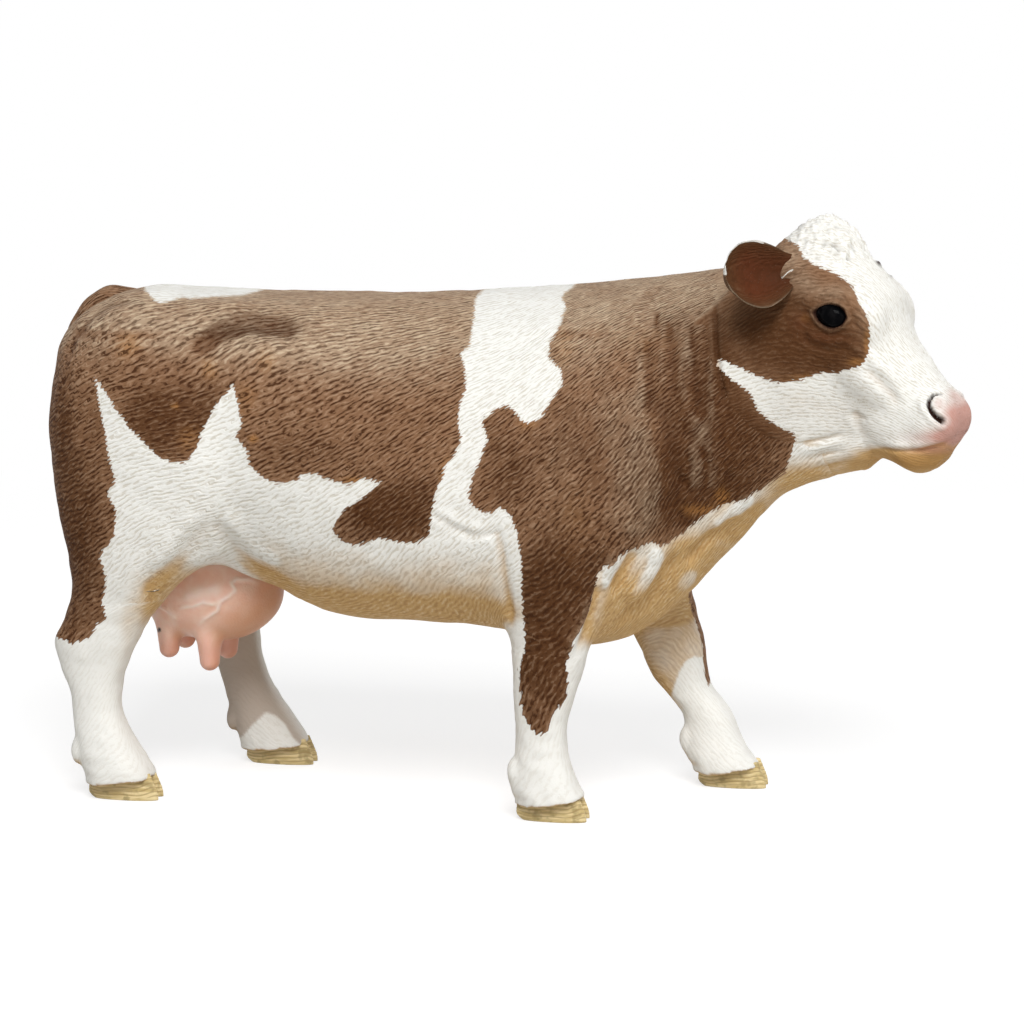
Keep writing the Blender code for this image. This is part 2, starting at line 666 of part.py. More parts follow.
def ear_skin(name, side, grow=0.0):
    """The ear with its peg: flat ellipses across its length, each bent into a cup."""
    place = np.linspace(EAR_OUTLINE_SHARES[0][0], EAR_OUTLINE_SHARES[-1][0], EAR_RINGS)
    half_width, cup, wall = between(EAR_OUTLINE_SHARES, place).T
    half_width = half_width * EAR_WIDTH / 2 + grow
    half_wall = wall * EAR_WALL / 2 + grow
    turn = np.arange(EAR_POINTS) * 2 * math.pi / EAR_POINTS
    rise = np.sin(turn)
    rings = np.stack(
        np.broadcast_arrays(
            spread_out(place * EAR_LENGTH, grow)[:, None],
            half_width[:, None] * np.cos(turn),
            half_wall[:, None] * rise - cup[:, None] * EAR_WIDTH * rise**2,
        ),
        axis=-1,
    )
    made = closed_skin(name, rings)
    made.data.transform(ear_frame(side))
    return made


# Udder: a bag that is deepest in front, with four teats and a peg into the belly


def udder_centre():
    return Vector((UDDER_ALONG_SHARE * TRUNK_LENGTH, 0.0, UDDER_HEIGHT_SHARE * BELLY_HEIGHT))


def udder_bag(name, grow=0.0):
    turn = Matrix.Rotation(math.atan(UDDER_FALL_SHARE), 3, "Y")
    radii = (UDDER_LENGTH / 2 + grow, UDDER_WIDTH / 2 + grow, UDDER_DEPTH / 2 + grow)
    return ellipsoid(name, udder_centre(), radii, turn, segments=UDDER_POINTS)


def teat(along, across):
    centre = udder_centre()
    x = centre.x + along * UDDER_LENGTH
    y = centre.y + across * UDDER_WIDTH / 2
    inside = 1 - (2 * along) ** 2 - across**2
    surface = centre.z - UDDER_DEPTH / 2 * math.sqrt(inside) - along * UDDER_LENGTH * UDDER_FALL_SHARE
    top = surface + TEAT_LENGTH * TEAT_SINK_SHARE
    end = surface - TEAT_LENGTH + TEAT_RADIUS
    root = TEAT_RADIUS * TEAT_ROOT_SHARE
    stalk = round_bar("teat", (x, y, top), (x, y, end), root, TEAT_RADIUS, points=12)
    fuse(stalk, ellipsoid("teat_end", (x, y, end), (TEAT_RADIUS,) * 3, segments=12))
    return stalk


def udder_peg(grow):
    centre = udder_centre()
    top = centre.z + UDDER_DEPTH / 2 + UDDER_PEG_LENGTH + grow
    return round_bar(
        "udder_peg", centre, (centre.x, centre.y, top), UDDER_PEG_RADIUS + grow, UDDER_PEG_RADIUS + grow
    )


def udder(hind_legs):
    made = udder_bag("udder")
    for along, across in TEAT_PLACE_SHARES:
        fuse(made, teat(along, across))
    fuse(made, udder_peg(0.0))
    for leg in hind_legs:
        cut(made, leg.clearance())
    return made


# Tail: a tapering cord down the rump that ends in a brush of hair


def tail_skin(name, grow=0.0):
    table = [(i, *row) for i, row in enumerate(TAIL_PATH_SHARES)]
    along, level, thickness = between(table, np.linspace(0, len(table) - 1, TAIL_RINGS)).T
    x, z = along * TRUNK_LENGTH, trunk_height(level)
    radius = thickness * TAIL_ROOT_RADIUS + grow
    run = np.stack((np.gradient(x), np.gradient(z)), axis=-1)
    run /= np.linalg.norm(run, axis=1, keepdims=True)
    turn = np.arange(TAIL_POINTS) * 2 * math.pi / TAIL_POINTS
    across = radius[:, None] * np.cos(turn)
    out = radius[:, None] * np.sin(turn)
    # The ends move out by grow along the path
    x[[0, -1]] += np.array([-1, 1]) * grow * run[[0, -1], 0]
    z[[0, -1]] += np.array([-1, 1]) * grow * run[[0, -1], 1]
    rings = np.stack(
        (x[:, None] - out * run[:, 1:2], across, z[:, None] + out * run[:, :1]), axis=-1
    )
    return closed_skin(name, rings)


# The figure


def paint(made, name, colour, roughness):
    """Gives an object its own plastic colour and shades it smooth except at true edges."""
    material = bpy.data.materials.new(name)
    material.use_nodes = True
    shader = material.node_tree.nodes["Principled BSDF"]
    shader.inputs["Base Color"].default_value = (*colour, 1.0)
    shader.inputs["Roughness"].default_value = roughness
    shader.inputs["Metallic"].default_value = 0.0
    made.data.materials.clear()
    made.data.materials.append(material)
    made.data.shade_smooth()
    made.data.set_sharp_from_angle(angle=math.radians(50.0))


def build_trunk(legs):
    trunk = trunk_skin()
    for leg in legs:
        fuse(trunk, leg.stub_skin())
    for leg in legs:
        cut(trunk, leg.socket())
    seat = head_skin("head_clearance", grow=GLUE_GAP)
    fuse(seat, cheeks(grow=GLUE_GAP))
    cut(trunk, seat)
    cut(trunk, head_peg(GLUE_GAP))
    cut(trunk, udder_bag("udder_clearance", grow=GLUE_GAP))
    cut(trunk, udder_peg(GLUE_GAP))
    cut(trunk, tail_skin("tail_clearance", grow=GLUE_GAP))
    return trunk


def build_leg(leg):
    made = leg.lower_skin()
    for across in (-1, 1):
        fuse(made, dewclaw(leg, across))
    cut(made, cleft_wedge(leg))
    return made


def build_head():
    head = head_skin("head")
    fuse(head, cheeks())
    fuse(head, head_peg(0.0))
    for side in (-1, 1):
        pad, ball = eye_forms(side)
        fuse(head, pad)
        fuse(head, ball)
        cut(head, nostril(side))
        cut(head, ear_skin("ear_clearance", side, grow=GLUE_GAP))
    cut(head, lip_line())
    return head


def centre_on_ground(pieces):
    """Moves every piece so that the origin lies under the centre of the figure's box."""
    corners = np.array([v.co for piece in pieces for v in piece.data.vertices])
    low, high = corners.min(axis=0), corners.max(axis=0)
    shift = Matrix.Translation((-(low[0] + high[0]) / 2, -(low[1] + high[1]) / 2, -low[2]))
    for piece in pieces:
        piece.data.transform(shift)


COAT_BROWN = (0.145, 0.060, 0.030)
COAT_WHITE = (0.780, 0.750, 0.690)
SKIN_PINK = (0.660, 0.320, 0.240)


def main():
    for old in list(bpy.data.objects):
        bpy.data.objects.remove(old)
    legs = [
        Leg("foreleg_right", fore=True, side=-1, steps=False),
        Leg("foreleg_left", fore=True, side=1, steps=True),
        Leg("hindleg_right", fore=False, side=-1, steps=False),
        Leg("hindleg_left", fore=False, side=1, steps=True),
    ]
    trunk = build_trunk(legs)
    head = build_head()
    ears = [ear_skin("ear_right", -1), ear_skin("ear_left", 1)]
    lower_legs = [build_leg(leg) for leg in legs]
    bag = udder(legs[2:])
    tail = tail_skin("tail")
    for made in (trunk, tail, *ears):
        paint(made, made.name + "_plastic", COAT_BROWN, 0.55)
    for made in (head, *lower_legs):
        paint(made, made.name + "_plastic", COAT_WHITE, 0.55)
    paint(bag, "udder_plastic", SKIN_PINK, 0.40)
    centre_on_ground([trunk, head, bag, tail, *ears, *lower_legs])


main()
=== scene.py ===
"""Toy cow figure in painted soft plastic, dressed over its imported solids.

Metres, +Z up. +X is the way the cow faces and its right side is at -Y. Coat outlines, folds and
veins are drawn as points of the 1024 x 1024 picture that the camera of this scene takes, and are
carried on to the skin through that camera, on the left side after mirroring.
"""

import math

import bpy
import numpy as np
from mathutils import Matrix, Vector


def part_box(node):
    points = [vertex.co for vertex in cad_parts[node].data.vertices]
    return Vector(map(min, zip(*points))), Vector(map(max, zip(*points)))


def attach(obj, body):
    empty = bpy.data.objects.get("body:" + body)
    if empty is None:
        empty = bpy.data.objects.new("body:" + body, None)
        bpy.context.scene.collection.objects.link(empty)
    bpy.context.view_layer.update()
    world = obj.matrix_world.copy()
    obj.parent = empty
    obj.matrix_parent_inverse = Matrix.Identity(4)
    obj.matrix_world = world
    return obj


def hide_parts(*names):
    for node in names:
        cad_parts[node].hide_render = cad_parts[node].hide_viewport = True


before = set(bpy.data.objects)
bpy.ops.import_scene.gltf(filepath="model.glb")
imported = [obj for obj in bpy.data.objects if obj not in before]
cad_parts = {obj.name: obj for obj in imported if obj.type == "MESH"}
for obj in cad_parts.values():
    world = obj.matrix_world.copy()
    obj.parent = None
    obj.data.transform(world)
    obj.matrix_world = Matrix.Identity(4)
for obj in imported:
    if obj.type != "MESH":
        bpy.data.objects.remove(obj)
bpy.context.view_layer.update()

# The studio: a camera at the picture's angle, a pale floor that looks white to the camera and
# keeps the figure's soft shadow, and three large soft lamps.

PICTURE_SIDE = 1024
SENSOR_WIDTH = 36.0
LENS = 111.7
VIEW_TURN = math.radians(12.0)
VIEW_RISE = math.radians(9.0)
VIEW_DISTANCE = 0.450
VIEW_TARGET = np.array((0.00157, 0.0, 0.041))
VIEW_BACK = np.array(
    (
        math.sin(VIEW_TURN) * math.cos(VIEW_RISE),
        -math.cos(VIEW_TURN) * math.cos(VIEW_RISE),
        math.sin(VIEW_RISE),
    )
)
VIEW_RIGHT = np.array((math.cos(VIEW_TURN), math.sin(VIEW_TURN), 0.0))
VIEW_UP = np.cross(VIEW_BACK, VIEW_RIGHT)
VIEW_PLACE = VIEW_TARGET + VIEW_BACK * VIEW_DISTANCE

camera = bpy.data.objects.new("camera", bpy.data.cameras.new("camera"))
camera.data.sensor_width = SENSOR_WIDTH
camera.data.lens = LENS
camera.data.clip_start, camera.data.clip_end = 0.01, 20.0
camera.matrix_world = Matrix.Translation(VIEW_PLACE) @ Matrix(
    np.stack((VIEW_RIGHT, VIEW_UP, VIEW_BACK), axis=1).tolist()
).to_4x4()
bpy.context.scene.collection.objects.link(camera)
bpy.context.scene.camera = camera
bpy.context.scene.view_settings.view_transform = "Standard"


def in_picture(points):
    """Place of world points in the picture, in pixels from its top left corner."""
    from_camera = points - VIEW_PLACE
    depth = -from_camera @ VIEW_BACK
    focal = PICTURE_SIDE * LENS / SENSOR_WIDTH
    across = from_camera @ VIEW_RIGHT / depth
    up = from_camera @ VIEW_UP / depth
    return PICTURE_SIDE / 2 + focal * np.stack((across, -up), axis=1)


class Signal:
    """A socket of a material. The usual operators on it add Math nodes."""

    def __init__(self, finish, socket):
        self.finish = finish
        self.socket = socket

    def math(self, operation, *others):
        inputs = {0: self, **{i + 1: other for i, other in enumerate(others)}}
        return self.finish.node("ShaderNodeMath", {"operation": operation}, inputs)

    def __add__(self, other):
        return self.math("ADD", other)

    def __sub__(self, other):
        return self.math("SUBTRACT", other)

    def __rsub__(self, other):
        return self.math("MULTIPLY", -1.0) + other

    def __mul__(self, other):
        return self.math("MULTIPLY", other)

    __radd__, __rmul__ = __add__, __mul__

    def ramp(self, start, end):
        """A smooth step from 0 at start to 1 at end."""
        settings = {"interpolation_type": "SMOOTHSTEP"}
        return self.finish.node("ShaderNodeMapRange", settings, {0: self, 1: start, 2: end})


class Finish:
    """A node material. constants are set on the sockets of its Principled shader."""

    def __init__(self, name, constants):
        self.material = bpy.data.materials.new(name)
        self.material.use_nodes = True
        self.tree = self.material.node_tree
        self.shader = self.tree.nodes["Principled BSDF"]
        for socket, value in constants.items():
            self.shader.inputs[socket].default_value = value

    def node(self, kind, settings, inputs, output=0):
        made = self.tree.nodes.new(kind)
        for setting, value in settings.items():
            setattr(made, setting, value)
        for socket, value in inputs.items():
            if isinstance(value, Signal):
                self.tree.links.new(value.socket, made.inputs[socket])
            else:
                made.inputs[socket].default_value = value
        return Signal(self, made.outputs[output])

    def feed(self, socket, value):
        self.tree.links.new(value.socket, self.shader.inputs[socket])

    def place(self):
        return self.node("ShaderNodeTexCoord", {}, {}, output="Object")

    def attribute(self, name):
        return self.node("ShaderNodeAttribute", {"attribute_name": name}, {}, output="Fac")

    def mix(self, factor, first, second):
        """Colour that goes from first to second with the factor."""
        colours = {0: factor}
        for i, colour in ((6, first), (7, second)):
            colours[i] = colour if isinstance(colour, Signal) else (*colour, 1.0)
        return self.node("ShaderNodeMix", {"data_type": "RGBA"}, colours, output=2)

    def vectors(self, operation, first, second):
        return self.node("ShaderNodeVectorMath", {"operation": operation}, {0: first, 1: second})

    def noise(self, place, scale, detail):
        inputs = {"Vector": place, "Scale": scale, "Detail": detail, "Roughness": 0.5}
        return self.node("ShaderNodeTexNoise", {}, inputs, output="Fac")

    def bump(self, height, distance):
        inputs = {"Strength": 1.0, "Distance": distance, "Height": height}
        return self.node("ShaderNodeBump", {}, inputs)


def lamp(name, place, size, power):
    """A square soft lamp that faces the middle of the figure."""
    data = bpy.data.lights.new(name, "AREA")
    data.energy, data.size = power, size
    made = bpy.data.objects.new(name, data)
    made.location = place
    made.rotation_euler = (Vector(VIEW_TARGET) - made.location).to_track_quat("-Z", "Y").to_euler()
    bpy.context.scene.collection.objects.link(made)


lamp("key_lamp", Vector((0.16, -0.66, 0.72)), size=0.40, power=7.6)
lamp("fill_lamp", Vector((0.85, -0.30, 0.45)), size=0.80, power=2.2)
lamp("back_lamp", Vector((0.30, 0.80, 0.70)), size=0.80, power=2.6)

FLOOR_SIDE = 6.0
FLOOR_DROP = 0.00005
FLOOR_GLOW = 0.70
FLOOR_FADE = (0.16, 0.34)
FLOOR_WHITE = (0.64, 0.62, 0.58, 1.0)
FLOOR_SHADED = (0.40, 0.40, 0.40, 1.0)
WORLD_WHITE = (1.0, 1.0, 1.0, 1.0)
WORLD_LIGHT = 0.24

floor_finish = Finish("floor_white", {"Roughness": 0.9, "Base Color": FLOOR_WHITE})
floor_glow = floor_finish.node("ShaderNodeEmission", {}, {"Strength": FLOOR_GLOW})
floor_white = floor_finish.node("ShaderNodeEmission", {}, {"Strength": 1.0})
floor_pale = floor_finish.node("ShaderNodeBsdfDiffuse", {}, {"Color": FLOOR_SHADED})
floor_near = floor_finish.node("ShaderNodeAddShader", {}, {0: floor_glow, 1: floor_pale})
from_middle = floor_finish.node(
    "ShaderNodeVectorMath", {"operation": "LENGTH"}, {0: floor_finish.place()}, output="Value"
)
floor_seen = floor_finish.node(
    "ShaderNodeMixShader", {}, {0: from_middle.ramp(*FLOOR_FADE), 1: floor_near, 2: floor_white}
)
is_seen = floor_finish.node("ShaderNodeLightPath", {}, {}, output="Is Camera Ray").math(
    "MAXIMUM", floor_finish.node("ShaderNodeLightPath", {}, {}, output="Is Glossy Ray")
)
floor_plain = Signal(floor_finish, floor_finish.shader.outputs[0])
floor_both = floor_finish.node(
    "ShaderNodeMixShader", {}, {0: is_seen, 1: floor_plain, 2: floor_seen}
)
floor_finish.tree.links.new(
    floor_both.socket, floor_finish.tree.nodes["Material Output"].inputs["Surface"]
)
floor_mesh = bpy.data.meshes.new("floor")
floor_mesh.from_pydata(
    [
        (x * FLOOR_SIDE / 2, y * FLOOR_SIDE / 2, -FLOOR_DROP)
        for x, y in ((-1, -1), (1, -1), (1, 1), (-1, 1))
    ],
    [],
    [(0, 1, 2, 3)],
)
floor_mesh.materials.append(floor_finish.material)
floor = bpy.data.objects.new("floor", floor_mesh)
bpy.context.scene.collection.objects.link(floor)

world = bpy.data.worlds.new("studio")
world.use_nodes = True
bpy.context.scene.world = world
world_nodes, world_links = world.node_tree.nodes, world.node_tree.links
plain = world_nodes["Background"]
plain.inputs["Color"].default_value = WORLD_WHITE
plain.inputs["Strength"].default_value = WORLD_LIGHT
white = world_nodes.new("ShaderNodeBackground")
white.inputs["Color"].default_value = WORLD_WHITE
path = world_nodes.new("ShaderNodeLightPath")
choice = world_nodes.new("ShaderNodeMixShader")
seen = world_nodes.new("ShaderNodeMath")
seen.operation = "MAXIMUM"
world_links.new(path.outputs["Is Camera Ray"], seen.inputs[0])
world_links.new(path.outputs["Is Glossy Ray"], seen.inputs[1])
world_links.new(seen.outputs[0], choice.inputs[0])
world_links.new(plain.outputs[0], choice.inputs[1])
world_links.new(white.outputs[0], choice.inputs[2])
world_links.new(choice.outputs[0], world_nodes["World Output"].inputs["Surface"])

# The trunk: the barrel, rump, shoulders and neck of the figure, moulded in one with the tops of
# the legs in soft plastic, with the hair and the folds of the skin in relief, and painted.

TRUNK_LENGTH = 0.119
TRUNK_DEPTH = 0.049
TRUNK_WIDTH = 0.046
BELLY_HEIGHT = 0.0245
# Along, sideways, top, widest level, underside, half width, squareness above and below, as
# shares of the trunk's length, depth and half width
TRUNK_STATIONS = (
    (0.019, 0.000, 0.660, 0.590, 0.520, 0.10, 2.0, 2.0),
    (0.025, 0.000, 0.755, 0.600, 0.430, 0.26, 2.0, 2.0),
    (0.037, 0.000, 0.838, 0.620, 0.320, 0.45, 2.1, 2.0),
    (0.056, 0.000, 0.893, 0.640, 0.215, 0.59, 2.3, 2.0),
    (0.088, 0.000, 0.941, 0.650, 0.130, 0.70, 2.5, 2.1),
    (0.126, 0.000, 0.968, 0.640, 0.150, 0.78, 2.6, 2.2),
    (0.193, 0.000, 0.967, 0.600, 0.180, 0.84, 2.6, 2.2),
    (0.277, 0.000, 0.963, 0.550, 0.125, 0.89, 2.5, 2.2),
    (0.370, 0.000, 0.965, 0.480, 0.033, 0.96, 2.3, 2.2),
    (0.471, 0.000, 0.967, 0.440, 0.020, 1.00, 2.2, 2.2),
    (0.563, 0.000, 0.982, 0.440, 0.008, 0.98, 2.2, 2.1),
    (0.639, 0.000, 0.996, 0.460, -0.030, 0.91, 2.1, 2.0),
    (0.689, 0.000, 1.008, 0.480, -0.035, 0.84, 2.0, 1.9),
    (0.731, 0.000, 1.020, 0.500, 0.000, 0.75, 2.0, 1.8),
    (0.765, -0.003, 1.031, 0.530, 0.066, 0.66, 2.0, 1.7),
    (0.798, -0.007, 1.041, 0.570, 0.140, 0.58, 2.0, 1.7),
    (0.832, -0.013, 1.055, 0.620, 0.230, 0.49, 2.0, 1.7),
    (0.866, -0.020, 1.063, 0.660, 0.322, 0.40, 2.0, 1.8),
    (0.899, -0.027, 1.060, 0.690, 0.414, 0.34, 2.0, 1.9),
    (0.933, -0.035, 1.035, 0.690, 0.458, 0.30, 2.0, 2.0),
    (0.966, -0.043, 0.960, 0.680, 0.488, 0.23, 2.0, 2.0),
    (0.996, -0.051, 0.760, 0.620, 0.530, 0.11, 2.0, 2.0),
)
TRUNK_START_SHARE = 0.025
RUMP_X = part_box("trunk")[0].x - TRUNK_START_SHARE * TRUNK_LENGTH
TRUNK_CELL = 0.00056
SHOULDER_BLEND = 0.0040


def between(stations, at):
    """Columns of a station table at the places in at, on a smooth cubic through its rows."""
    table = np.array(stations, float)
    place, values = table[:, 0], table[:, 1:]
    slopes = np.gradient(values, place, axis=0)
    at = np.clip(at, place[0], place[-1])
    row = np.clip(np.searchsorted(place, at, side="right") - 1, 0, len(place) - 2)
    step = (place[row + 1] - place[row])[:, None]
    t = ((at - place[row])[:, None]) / step
    start, end = values[row], values[row + 1]
    rise = start * (1 + 2 * t) * (1 - t) ** 2 + end * t * t * (3 - 2 * t)
    lean = slopes[row] * step * t * (1 - t) ** 2 - slopes[row + 1] * step * t * t * (1 - t)
    return (rise + lean).T


def grid(low, high, cell):
    """Three open arrays of places along x, y and z, a cell apart, which broadcast to a block."""
    return np.ogrid[tuple(slice(a, b, cell) for a, b in zip(low, high))]


def as_distance(field, cell):
    """A field divided by its slope, so that near its zero level it measures distance."""
    slope = np.sqrt(sum(g * g for g in np.gradient(field, cell)))
    return field / np.maximum(slope, 0.3)


def sweep_distance(across, rise, half_width, up, down, upper, lower):
    """Distance outside a ring that is a superellipse, with its own reach and squareness above
    and below: how far the point lies out along its own radius."""
    is_up = rise >= 0
    power = np.where(is_up, upper, lower)
    level = (
        (np.abs(across) / half_width) ** power + (np.abs(rise) / np.where(is_up, up, down)) ** power
    ) ** (1 / power)
    return np.hypot(across, rise) * (1 - 1 / np.maximum(level, 1e-3))


def trunk_distance(x, y, z, cell):
    """Distance outside the trunk's sweep along X."""
    first, last = TRUNK_STATIONS[0][0], TRUNK_STATIONS[-1][0]
    steps = np.linspace(first, last, 600)
    shares = (x - RUMP_X) / TRUNK_LENGTH
    side, top, widest, bottom, width, upper, lower = (
        np.interp(shares, steps, column) for column in between(TRUNK_STATIONS, steps)
    )
    rise = z - BELLY_HEIGHT - widest * TRUNK_DEPTH
    up, down = (top - widest) * TRUNK_DEPTH, (widest - bottom) * TRUNK_DEPTH
    across = y - side * TRUNK_LENGTH
    swept = sweep_distance(across, rise, width * TRUNK_WIDTH / 2, up, down, upper, lower)
    ends = np.maximum(first - shares, shares - last) * TRUNK_LENGTH
    return as_distance(np.maximum(swept, ends), cell)


def blended(first, second, radius):
    """The two fields joined, with a fillet of about that radius between them."""
    h = np.clip(0.5 + 0.5 * (second - first) / radius, 0, 1)
    return second + (first - second) * h - radius * h * (1 - h)


def skin_of(field, low, cell, rounds=3):
    """Closed skin where a field on a grid is zero: a point in each cell that it crosses, at the
    mean of the crossings of the cell's edges, and a quad round each grid edge that it crosses.
    The points are then evened out against their neighbours, without shrinking the skin."""
    shape = np.array(field.shape) - 1
    inside = field < 0
    count = np.zeros(shape, np.int8)
    for i, j, k in np.ndindex(2, 2, 2):
        count += inside[i : i + shape[0], j : j + shape[1], k : k + shape[2]]
    crossed = (count > 0) & (count < 8)
    cells = np.argwhere(crossed)
    number = np.full(shape, -1, np.int64)
    number[crossed] = np.arange(len(cells))
    total, hits = np.zeros((len(cells), 3)), np.zeros(len(cells))
    for axis in range(3):
        for offset in np.ndindex(2, 2):
            start = np.insert(offset, axis, 0)
            end = np.insert(offset, axis, 1)
            f0, f1 = field[tuple((cells + start).T)], field[tuple((cells + end).T)]
            hit = (f0 < 0) != (f1 < 0)
            place = np.tile(start.astype(float), (len(cells), 1))
            place[:, axis] = f0 / np.where(hit, f0 - f1, 1)
            total += place * hit[:, None]
            hits += hit
    points = np.array(low) + cell * (cells + total / hits[:, None])
    quads = []
    for axis in range(3):
        u, v = (axis + 1) % 3, (axis + 2) % 3
        trim = [slice(1, -1)] * 3
        trim[axis] = slice(None, -1)
        start = inside[tuple(trim)]
        trim[axis] = slice(1, None)
        changed = start != inside[tuple(trim)]
        at = np.argwhere(changed) + np.where(np.arange(3) == axis, 0, 1)
        unit = np.eye(3, dtype=int)
        ring = [at - unit[u] - unit[v], at - unit[v], at, at - unit[u]]
        ring = np.stack([number[tuple(corner.T)] for corner in ring], axis=1)
        quads.append(np.where(start[changed][:, None], ring, ring[:, ::-1]))
    quads = np.concatenate(quads)
    for _ in range(rounds):
        for pull in (0.5, -0.53):
            points = points + pull * (neighbour_mean(points, quads) - points)
    return points, quads


def neighbour_mean(values, quads):
    """Mean of the values of the points that share an edge with each point."""
    ends = np.concatenate([quads[:, [i, (i + 1) % 4]] for i in range(4)])
    ends = np.concatenate((ends, ends[:, ::-1]))
    count = np.bincount(ends[:, 0], minlength=len(values))
    sums = [np.bincount(ends[:, 0], weights=v[ends[:, 1]], minlength=len(values)) for v in values.T]
    return np.stack(sums, axis=1) / np.maximum(count, 1)[:, None]


def normals_of(points, quads):
    """Unit normals of the points, as the sum of the normals of the quads round them."""
    corners = points[quads]
    face = np.cross(corners[:, 2] - corners[:, 0], corners[:, 3] - corners[:, 1])
    total = np.zeros_like(points)
    for i in range(4):
        for axis in range(3):
            total[:, axis] += np.bincount(quads[:, i], face[:, axis], minlength=len(points))
    return total / np.maximum(np.linalg.norm(total, axis=1, keepdims=True), 1e-12)


def lumps(points, size, seed):
    """Smooth noise from -1 to 1 with lumps of the given size along x, y and z: random values on
    a lattice, blended with smooth weights."""
    place = points / np.array(size)
    cell = np.floor(place).astype(np.int64)
    t = place - cell
    t = t * t * (3 - 2 * t)
    total = np.zeros(len(points))
    for corner in np.ndindex(2, 2, 2):
        x, y, z = (cell + corner).T
        code = x * 73856093 + y * 19349663 + z * 83492791 + seed * 2654435761
        code = (code ^ (code >> 15)) * 1274126177 & 0xFFFFFFFF
        code = (code ^ (code >> 13)) * 1103515245 & 0xFFFFFFFF
        weight = np.where(np.array(corner) == 1, t, 1 - t).prod(axis=1)
        total += weight * ((code >> 8 & 0xFFFF) / 32767.5 - 1)
    return total


def nearest_on(spots, line, closed=False):
    """Distance in pixels from spots of the picture to a line of points, and how far along it
    from 0 to 1 the nearest place lies."""
    corners = np.array(line, float)
    if closed:
        corners = np.concatenate((corners, corners[:1]))
    steps = np.hypot(*np.diff(corners, axis=0).T)
    reached = np.concatenate(((0,), np.cumsum(steps))) / steps.sum()
    nearest, along = np.full(len(spots), np.inf), np.zeros(len(spots))
    for i, (start, run) in enumerate(zip(corners, np.diff(corners, axis=0))):
        t = np.clip((spots - start) @ run / (run @ run), 0, 1)
        away = np.hypot(*(spots - start - t[:, None] * run).T)
        along = np.where(away < nearest, reached[i] + t * (reached[i + 1] - reached[i]), along)
        nearest = np.minimum(nearest, away)
    return nearest, along


def inside_outline(spots, outline):
    """Distance in pixels to a closed outline, positive inside it."""
    corners = np.array(outline, float)
    within = np.zeros(len(spots), bool)
    for start, end in zip(corners, np.roll(corners, -1, axis=0)):
        spans = (start[1] > spots[:, 1]) != (end[1] > spots[:, 1])
        height = (spots[:, 1] - start[1]) / np.where(start[1] == end[1], 1, end[1] - start[1])
        within ^= spans & (spots[:, 0] < start[0] + height * (end[0] - start[0]))
    away, _ = nearest_on(spots, outline, closed=True)
    return np.where(within, away, -away)


def folds(spots, lines):
    """Rise of the skin over drawn lines, in metres: each line is a soft ridge, or a groove where
    its rise is below 0, which fades out at both ends."""
    total = np.zeros(len(spots))
    for width, rise, *line in lines:
        away, along = nearest_on(spots, line)
        fade = np.clip(np.minimum(along, 1 - along) / 0.22, 0, 1)
        total += rise * 0.001 * np.exp(-((away / width) ** 2)) * fade * fade * (3 - 2 * fade)
    return total


def bosses(spots, rows):
    """Sum of soft round spots, each with its centre, its reach along and across, and its size."""
    total = np.zeros(len(spots))
    for x, y, along, across, size in rows:
        far = ((spots[:, 0] - x) / along) ** 2 + ((spots[:, 1] - y) / across) ** 2
        total += size * np.exp(-far)
    return total


